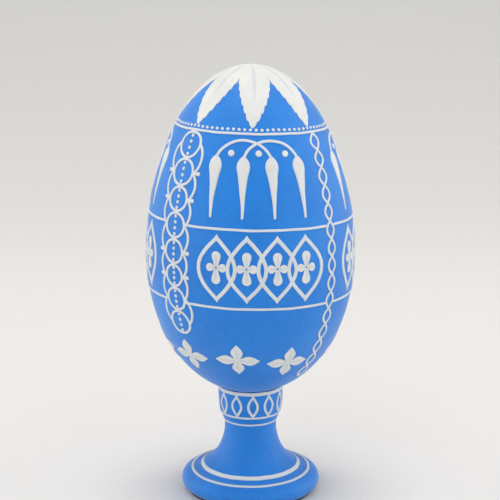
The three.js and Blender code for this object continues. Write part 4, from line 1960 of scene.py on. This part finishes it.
    def felt_pad(self) -> None:
        """The felt disc, with an edge that is pressed round."""
        low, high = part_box("felt_pad")
        radius, soft = high.x, self.pad_soft
        outline = np.vstack([
            [(0, low.z), (radius - soft, low.z)],
            arc((radius - soft, low.z + soft), (soft, soft), -70, 0, 4),
            arc((radius - soft, high.z - soft), (soft, soft), 0, 90, 5),
            [(radius * 0.6, high.z), (0, high.z)],
        ])
        pad = turn_on_lathe(outline, 128)
        self.finishes.dress(pad, "felt_pad_pressed", Body.STAND, Slot.FELT, ("felt_pad",), 40)


# ------------------------------------------------------------------------------------------ the studio


@dataclass(frozen=True)
class Lamp:
    """A soft square light that faces the egg.

    Attributes:
        name: Its name.
        at: Where it hangs.
        size: The length of its side.
        power: Its power in watts.
        tint: The colour of its light.
        aim: The point it faces.
    """

    name: str
    at: tuple[float, float, float]
    size: float
    power: float
    tint: Colour = (1, 1, 1)
    aim: tuple[float, float, float] = (0, 0, 0.08)

    def hang(self) -> None:
        """Puts the light in the scene."""
        start_fresh()
        bpy.ops.object.light_add(type="AREA", location=self.at)
        lamp = bpy.context.active_object
        lamp.name = self.name
        lamp.data.size = self.size
        lamp.data.energy = self.power
        lamp.data.color = self.tint
        lamp.rotation_euler = (Vector(self.aim) - Vector(self.at)).to_track_quat("-Z", "Y").to_euler()


@dataclass(frozen=True)
class Studio:
    """A pale sweep, soft lights and the camera.

    Attributes:
        lamps: The lights.
        sky: The colour of the light from all round.
        sky_strength: How strong it is.
        paper: The two tones of the sweep near the object.
        paper_front: Its tone in front, which throws light up at the egg.
        paper_back: Its darker tone at the back, which is painted shade: the back of the floor and the
            backdrop are darkened as if less light reached them.
        lens: The camera's focal length in millimetres.
        camera_at: Where the camera stands.
        look_down: Degrees by which it looks down.
    """

    lamps: tuple[Lamp, ...] = (
        Lamp("key_soft", (-0.45, -0.9, 1.3), 1.1, 4.2),
        Lamp("fill_soft", (0.75, -0.7, 0.9), 1.0, 2.0),
        Lamp("left_wall", (-0.85, 0.1, 0.4), 0.8, 3.0),
        Lamp("right_wall", (0.85, 0.1, 0.4), 0.8, 3.0),
        Lamp("top_soft", (0.0, 0.1, 1.3), 0.6, 6.6),
        Lamp("low_left", (-0.5, -0.4, 0.03), 0.4, 0.9, COOL),
        Lamp("low_right", (0.45, -0.45, 0.03), 0.4, 0.9, COOL),
    )
    sky: Colour = (0.93, 0.93, 0.91)
    sky_strength: float = 0.5
    paper: tuple[Colour, Colour] = ((0.715, 0.692, 0.672), (0.735, 0.712, 0.692))
    paper_front: Colour = (0.88, 0.88, 0.88)
    paper_back: Colour = (0.60, 0.592, 0.578)
    lens: float = 102.5
    camera_at: tuple[float, float, float] = (-0.00016, -0.46784, 0.1883)
    look_down: float = 12.54

    def build(self) -> None:
        """Sets the studio up round the object."""
        self.sweep()
        for lamp in self.lamps:
            lamp.hang()
        world = bpy.data.worlds.new("soft_room")
        world.use_nodes = True
        background = world.node_tree.nodes["Background"]
        background.inputs["Color"].default_value = (*self.sky, 1)
        background.inputs["Strength"].default_value = self.sky_strength
        scene = bpy.context.scene
        scene.world = world
        scene.view_settings.view_transform = "Standard"
        camera = bpy.data.objects.new("camera", bpy.data.cameras.new("camera"))
        scene.collection.objects.link(camera)
        camera.data.lens = self.lens
        camera.location = self.camera_at
        camera.rotation_euler = (math.radians(90 - self.look_down), 0, 0)
        scene.camera = camera

    def sweep(self) -> None:
        """A floor that bends up into a backdrop."""
        start_fresh()
        bpy.ops.mesh.primitive_plane_add(size=1, location=(0, 0, 0))
        sweep = bpy.context.active_object
        edit(sweep)
        bpy.ops.transform.resize(value=(6, 3, 1), center_override=(0, 0, 0))
        bpy.ops.transform.translate(value=(0, -0.3, 0))
        bpy.ops.mesh.select_all(action="DESELECT")
        bpy.ops.object.mode_set(mode="OBJECT")
        far = max(v.co.y for v in sweep.data.vertices)
        for edge in sweep.data.edges:
            edge.select = all(sweep.data.vertices[i].co.y > far - MM for i in edge.vertices)
        for vertex in sweep.data.vertices:
            vertex.select = vertex.co.y > far - MM
        bpy.ops.object.mode_set(mode="EDIT")
        bpy.ops.mesh.extrude_region_move(TRANSFORM_OT_translate={"value": (0, 0, 2.2)})
        bpy.ops.object.mode_set(mode="OBJECT")
        apply_modifier(sweep, "BEVEL", width=0.75, segments=32, limit_method="ANGLE")
        pick(sweep)
        bpy.ops.object.shade_smooth()
        sweep.name = "pale_sweep"
        sweep.data.materials.append(self.pale_paper())

    def pale_paper(self) -> bpy.types.Material:
        """The sweep's paper: faint fibres, brighter in front, and painted shade that darkens it towards the
        back.

        Returns:
            The material.
        """
        material = bpy.data.materials.new("pale_paper")
        material.use_nodes = True
        sheet = NodeSheet(material.node_tree)
        where = sheet.add("TexCoord").outputs["Object"]
        fibre = sheet.add("TexNoise", {"Vector": where, "Scale": 90.0, "Detail": 3.0})
        apart = sheet.add("SeparateXYZ", {0: where})
        span = {0: apart.outputs[1], 1: 0.25, 2: 1.1}
        # Mask for the painted shade: rises from nought to one towards the back of the sweep.
        back = sheet.add("MapRange", span, interpolation_type="SMOOTHSTEP")
        front = sheet.add("MapRange", {0: apart.outputs[1], 1: -0.12, 2: -0.3})
        near = sheet.mixed(fibre.outputs[0], *self.paper)
        bright = sheet.mixed(front.outputs[0], near, self.paper_front)
        # Painted shade: the paper is mixed towards a darker tone at the back.
        tone = sheet.mixed(back.outputs[0], bright, self.paper_back)
        look = {"Base Color": tone, "Roughness": 0.9, "Specular IOR Level": 0.2}
        shader = sheet.add("BsdfPrincipled", look)
        sheet.add("OutputMaterial", {"Surface": shader.outputs[0]})
        return material


def main() -> None:
    """Builds the studio, the stand and the egg."""
    logging.basicConfig(level=logging.INFO, format="%(name)s %(message)s")
    finishes = Finishes()
    Studio().build()
    Stand(finishes).build()
    Egg(finishes).build()


if __name__ == "__main__":
    main()
